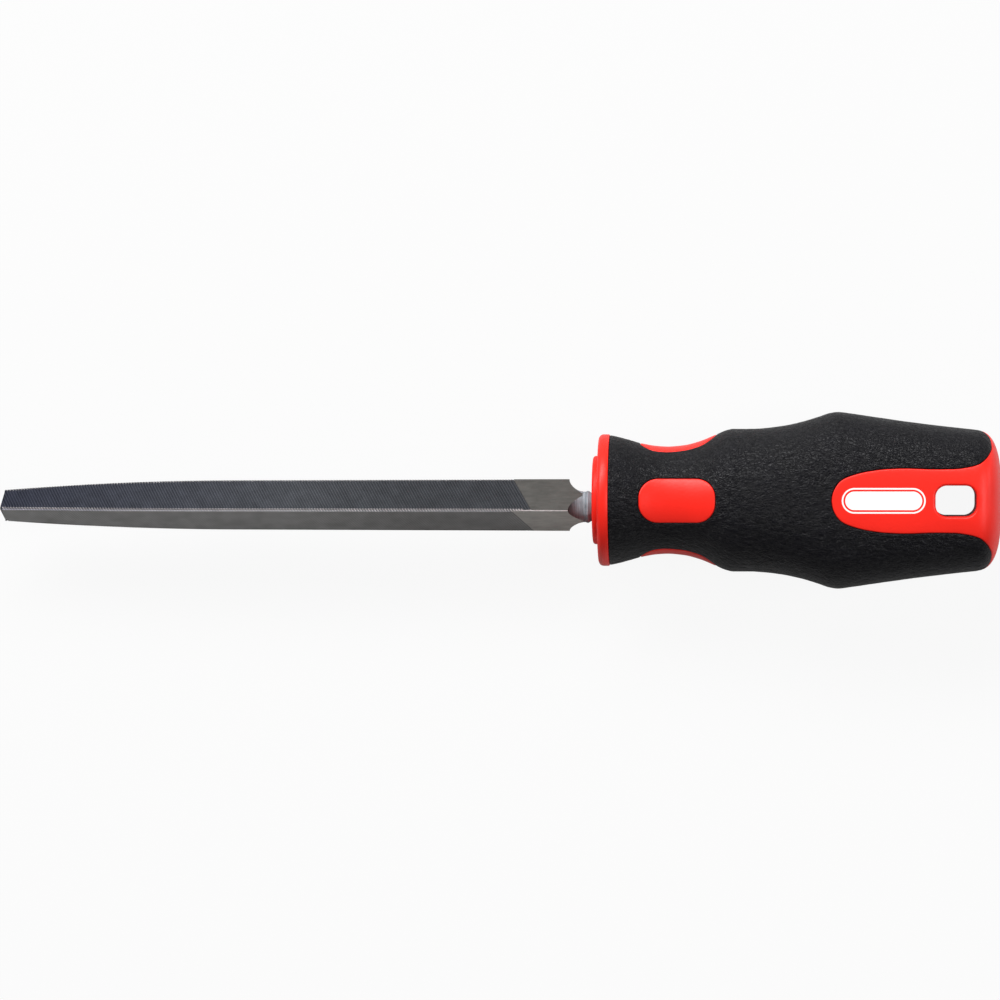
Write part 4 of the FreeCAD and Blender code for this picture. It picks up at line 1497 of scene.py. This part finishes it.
class HandFileBlade(bpy.types.PropertyGroup):
    tip_side: length("Tip Side", "Side of the triangle at the tip", 8.65)
    belly_side: length("Belly Side", "Side of the triangle where the taper begins", 13.55)
    heel_side: length("Heel Side", "Side of the triangle at the shoulder", 14.1)
    taper_length: length("Taper", "Length of the taper from the tip", 63.0)
    land: length("Land", "Width of the flat along each corner between the teeth", 0.47)
    heel_land: length("Heel Land", "Width of the flat along each corner of the heel", 0.26)
    shoulder: length("Shoulder", "Shoulder, from the flange's front face", -7.95)
    cut_end: length("Cut End", "Where the teeth end, from the flange's front face", -20.2)
    pitch: length("Pitch", "Tooth to tooth along the blade", 0.75)
    crest_height: length("Crest", "Height of a crest over the uncut face", 0.09)
    gullet_depth: length("Gullet", "Depth of a gullet under the uncut face", 0.12)
    neck_radius: length("Neck Radius", "Neck next to the shoulder", 4.1)
    scallop_radius: length("Scallop", "Ground hollow behind the shoulder", 4.0)
    tang_offset: length("Tang Offset", "How far the tang sits to the side", 1.8)
    roll: bpy.props.FloatProperty(name="Roll", description="Turn of the blade about its axis",
                                  subtype="ANGLE", unit="ROTATION",
                                  default=math.radians(6.4))
    cut_lean: bpy.props.FloatProperty(name="Cut Lean", subtype="ANGLE", unit="ROTATION",
                                      description="Lean of the teeth from straight across",
                                      default=math.radians(21.3))


class HandFileHandle(bpy.types.PropertyGroup):
    grip_cell: length("Grip Cell", "Size of a mesh cell on the grip's skin", 0.38)
    core_cell: length("Core Cell", "Size of a mesh cell on the core's skin", 0.6)


class HandFileLook(bpy.types.PropertyGroup):
    core_colour: colour("Core", "Red plastic", 0.88, 0.02, 0.011)
    grip_colour: colour("Grip", "Black rubber", 0.0018, 0.0016, 0.0038)
    label_colour: colour("Label", "Blank printed label", 0.9, 0.89, 0.87)
    tip_colour: colour("Tip Steel", "Toothed steel near the tip", 0.043, 0.048, 0.074)
    cut_colour: colour("Cut Steel", "Toothed steel", 0.097, 0.103, 0.117)
    # Painted light: a paler colour for the toothed face towards -Y, as though more light fell on
    # it.
    right_colour: colour("Right Face", "Toothed steel of the paler face", 0.235, 0.232, 0.229)
    heel_colour: colour("Heel Steel", "Uncut heel", 0.124, 0.12, 0.112)
    land_colour: colour("Land Steel", "Bright corner lands", 0.74, 0.68, 0.68)
    # Painted shade for the hollow behind the shoulder, not a different steel.
    hollow_colour: colour("Hollow", "Darker steel in the hollow behind the shoulder",
                          0.028, 0.042, 0.042)
    neck_colour: colour("Neck Steel", "Ground neck", 0.28, 0.32, 0.35)


class HandFileStage(bpy.types.PropertyGroup):
    distance: length("Distance", "Camera to the middle of the file", 1700.0)
    view_width: length("View Width", "Width seen at the file", 264.7)
    aim: length("Aim", "Where along the file the camera looks", -0.25)
    lean: bpy.props.FloatProperty(name="Lean", subtype="ANGLE", unit="ROTATION",
                                  description="Camera's lean towards the handle",
                                  default=math.radians(3.2))
    tilt: bpy.props.FloatProperty(name="Tilt", subtype="ANGLE", unit="ROTATION",
                                  description="Camera's lean to the file's +Y side",
                                  default=math.radians(0.8))
    floor_colour: colour("Floor", "Pale floor", 0.52, 0.52, 0.52)
    sky_strength: bpy.props.FloatProperty(name="Sky", description="Soft light from all sides",
                                          default=0.16, min=0.0)
    key_power: bpy.props.FloatProperty(name="Key", description="Main softbox, in watts",
                                       default=32.5, min=0.0)
    top_power: bpy.props.FloatProperty(name="Top", description="Top softbox, in watts",
                                       default=7.0, min=0.0)
    end_power: bpy.props.FloatProperty(name="End", description="Light at the end, in watts",
                                       default=2.0, min=0.0)


# ------------------------------------------------------------------ operators and panel

class HANDFILE_OT_stage(bpy.types.Operator):
    """Camera, floor and soft studio light"""
    bl_idname = "hand_file.stage"
    bl_label = "Stage"

    def execute(self, context):
        build_stage(context.scene.hand_file_stage)
        return {"FINISHED"}


class HANDFILE_OT_blade(bpy.types.Operator):
    """Three-square blade with cut teeth, lands, plain heel and neck"""
    bl_idname = "hand_file.blade"
    bl_label = "File Blade"

    def execute(self, context):
        piece = build_blade(context.scene.hand_file_blade)
        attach(piece, "root")
        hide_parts("file_blade")
        return {"FINISHED"}


class HANDFILE_OT_socket(bpy.types.Operator):
    """Red boss of the tang socket"""
    bl_idname = "hand_file.socket"
    bl_label = "Tang Socket"

    def execute(self, context):
        piece = build_socket()
        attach(piece, "root")
        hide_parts("tang_socket")
        return {"FINISHED"}


class HANDFILE_OT_core(bpy.types.Operator):
    """Red core with flange, thumb pads, rear panels and hanging eye"""
    bl_idname = "hand_file.core"
    bl_label = "Handle Core"

    def execute(self, context):
        piece = build_core(context.scene.hand_file_handle)
        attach(piece, "root")
        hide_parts("handle_core")
        return {"FINISHED"}


class HANDFILE_OT_grip(bpy.types.Operator):
    """Black grip shell with grained skin"""
    bl_idname = "hand_file.grip"
    bl_label = "Grip"

    def execute(self, context):
        piece = build_grip(context.scene.hand_file_handle)
        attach(piece, "root")
        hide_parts("grip_overmould")
        return {"FINISHED"}


class HANDFILE_PT_panel(bpy.types.Panel):
    """Buttons for the file's pieces"""
    bl_label = "Hand File"
    bl_idname = "HANDFILE_PT_panel"
    bl_space_type = "VIEW_3D"
    bl_region_type = "UI"
    bl_category = "Hand File"

    def draw(self, context):
        for operator in OPERATORS:
            self.layout.operator(operator.bl_idname)


GROUPS = (
    ("hand_file_blade", HandFileBlade), ("hand_file_handle", HandFileHandle),
    ("hand_file_look", HandFileLook), ("hand_file_stage", HandFileStage),
)
OPERATORS = (HANDFILE_OT_stage, HANDFILE_OT_blade, HANDFILE_OT_socket, HANDFILE_OT_core,
             HANDFILE_OT_grip)


def register():
    for name, group in GROUPS:
        bpy.utils.register_class(group)
        setattr(bpy.types.Scene, name, bpy.props.PointerProperty(type=group))
    for operator in OPERATORS:
        bpy.utils.register_class(operator)
    bpy.utils.register_class(HANDFILE_PT_panel)


def unregister():
    bpy.utils.unregister_class(HANDFILE_PT_panel)
    for operator in reversed(OPERATORS):
        bpy.utils.unregister_class(operator)
    for name, group in reversed(GROUPS):
        delattr(bpy.types.Scene, name)
        bpy.utils.unregister_class(group)


def main():
    register()
    bpy.ops.hand_file.stage()
    bpy.ops.hand_file.blade()
    bpy.ops.hand_file.socket()
    bpy.ops.hand_file.core()
    bpy.ops.hand_file.grip()


if __name__ == "__main__":
    main()
